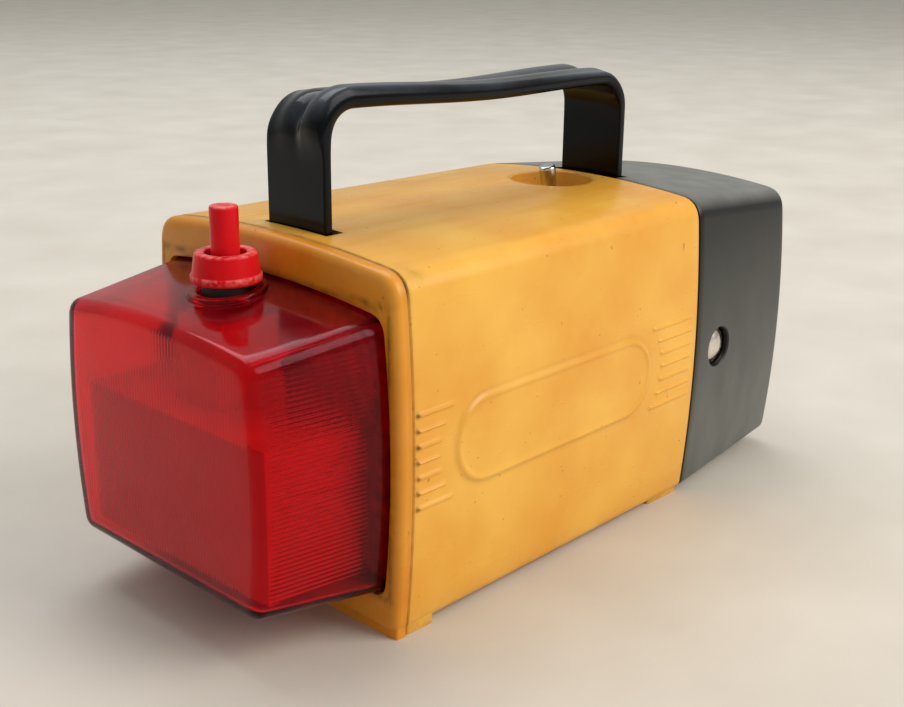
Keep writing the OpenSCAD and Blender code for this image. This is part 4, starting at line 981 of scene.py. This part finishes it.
def side_screw(s):
    """A flat dome over a thin disc, and the shank behind it."""
    t = np.linspace(0.0, 1.0, 9)
    dome = np.column_stack([SCREW_R * (1 - t), seat_y + 0.8 + 1.6 * (1 - (1 - t) ** 2)])
    shank = [[0, 30.0], [SHANK_R, 30.0], [SHANK_R, seat_y], [5.6, seat_y], [SCREW_R, seat_y + 0.2]]
    path = np.concatenate([shank, dome])
    path[:, 1] *= s
    return loose("side_screw", turned(path, screw_at, "y"), poles=BOTH)


screws = joined(side_screw(-1), side_screw(1))
finished(screws, "head", [nickel], ["head_screws"])

# The lamp: domed glass, a smooth mirror shell, and two bulbs
r = np.linspace(0.0, 1.0, 15)
glass_path = np.concatenate([np.column_stack([GLASS_R * r, X_RIM + 0.1 + 0 * r]), [[GLASS_R, X_RIM + 1.6]],
                             np.column_stack([35.5 * (1 - r), X_RIM + 1.6 + 1.35 * (1 - (1 - r) ** 2)])])
finished(loose("front_glass", turned(glass_path, (0, 0, BEAM_Z), "x", 96), poles=BOTH),
         "head", [glass], ["front_lens"])
r = np.linspace(NECK_R, WINDOW_R, 40)
dish = DISH_DEPTH * (r / WINDOW_R) ** 2
dish_lip = [[38.8, DISH_DEPTH], [38.8, DISH_DEPTH - 1.1], [36.9, DISH_DEPTH - 1.1]]
shell = np.concatenate([np.column_stack([r, dish]), dish_lip,
                        np.column_stack([r + 0.45, dish - 1.0])[::-1], [[NECK_R, -0.9]]])
neck = [[9.1, -7.9], [10.1, -7.9], [10.1, 2.2], [9.1, 1.6]]
bowl = loose("mirror_bowl", turned(shell, (X_VERTEX, 0, BEAM_Z), "x", 96), along=True)
joined(bowl, loose("mirror_neck", turned(neck, (X_VERTEX, 0, BEAM_Z), "x", 64), along=True))
finished(bowl, "head", [mirror], ["reflector"])


def bulb(name, tip_x, globe_r, neck_r, neck_x, at_z, way):
    """A round bulb whose globe runs smoothly into a neck, closed at its base."""
    b = np.linspace(0.0, np.radians(132), 22)
    globe = np.column_stack([globe_r * np.sin(b), tip_x - way * globe_r * (1 - np.cos(b))])
    path = np.concatenate([globe, [[neck_r, neck_x + way * 0.8], [neck_r, neck_x], [0.0, neck_x]]])
    return loose(name, turned(path, (0, 0, at_z), "x", 48), poles=BOTH)


low, high = (np.array(v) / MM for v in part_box("lamp_bulb_glass"))
finished(bulb("lamp_bulb", high[0], 6.0, 4.2, low[0], BEAM_Z, 1),
         "head", [glass], ["lamp_bulb_glass"])
low, high = (np.array(v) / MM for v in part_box("flasher_bulb_glass"))
finished(bulb("flasher_bulb", low[0], 5.5, 4.1, high[0], (low[2] + high[2]) / 2, -1),
         "case", [glass], ["flasher_bulb_glass"])

# The foam pad behind the battery: its outline and its round edges are power curves of the sixth and 0.28th
# power, and its faces lie at the ends of a half turn
low, high = (np.array(v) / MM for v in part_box("battery_pad"))
u = np.linspace(0, 2 * np.pi, 72, endpoint=False)[None, :]
round_off = (np.abs(np.cos(u)) ** 6 + np.abs(np.sin(u)) ** 6) ** (-1 / 6)
s = np.linspace(0.0, np.pi, 21)[:, None]
reach = np.sin(s) ** 0.28 * round_off
pad = np.stack([mix(low[0] + 0.05, high[0] - 0.05, 0.5 - 0.5 * np.cos(s)) + 0 * u,
                (low[1] + high[1]) / 2 + (high[1] - low[1]) / 2 * reach * np.cos(u),
                (low[2] + high[2]) / 2 + (high[2] - low[2]) / 2 * reach * np.sin(u)], -1)
pad_piece = finished(loose("battery_foam", pad, poles=BOTH), "case", [foam], ["battery_pad"])

# Finishes of the solids that stay as they are
KEPT = {
    "bezel_screws": steel, "lens_gasket": rubber, "flasher_carrier": white, "flasher_window": white,
    "flasher_socket": bakelite, "flasher_bulb_base": brass, "button_switch": white,
    "button_bushing": black_dull, "handle_pins": steel,
    "toggle_switch": bakelite, "toggle_nut": nickel, "toggle_terminals": brass,
    "battery_case": card, "battery_cap": black_dull, "battery_springs": brass, "front_gasket": rubber,
    "retainer_ring": steel, "retainer_screws": steel, "lamp_holder": bakelite, "lamp_bulb_base": brass,
    "contact_board": bakelite, "contact_strips": brass, "head_nuts": steel,
}
for name, material in KEPT.items():
    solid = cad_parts[name]
    solid.data.materials.clear()
    solid.data.materials.append(material)

# Floor and light
ring_r = np.array([0.0, 400.0, 2000.0, 12000.0])
floor = loose("floor", turned(np.column_stack([ring_r, 0 * ring_r]), (0, 0, 0)), poles=(True, False))
floor.data.materials.append(floor_finish)
if floor.data.polygons[0].normal.z < 0:
    floor.data.flip_normals()


def lamp(name, at, width, power, colour):
    """A square soft lamp that looks at the lantern's middle."""
    light = bpy.data.lights.new(name, "AREA")
    light.size, light.energy, light.color = width, power, linear(colour)[:3]
    stand = bpy.data.objects.new(name, light)
    stand.location = at
    stand.rotation_euler = (Vector((0, 0, 0.06)) - Vector(at)).to_track_quat("-Z", "Y").to_euler()
    bpy.context.scene.collection.objects.link(stand)


lamp("window", (0.75, -1.50, 1.20), 1.3, 27.0, "#FFF6EA")
lamp("overhead", (0.3, 0.7, 1.8), 1.4, 18.0, "#FFFFFF")
world = bpy.data.worlds.new("room")
bpy.context.scene.world = world
world.use_nodes = True
feed(world.node_tree, world.node_tree.nodes["Background"], {"Color": "#E9E8E4", "Strength": 0.55})
bpy.context.scene.view_settings.view_transform = "Standard"
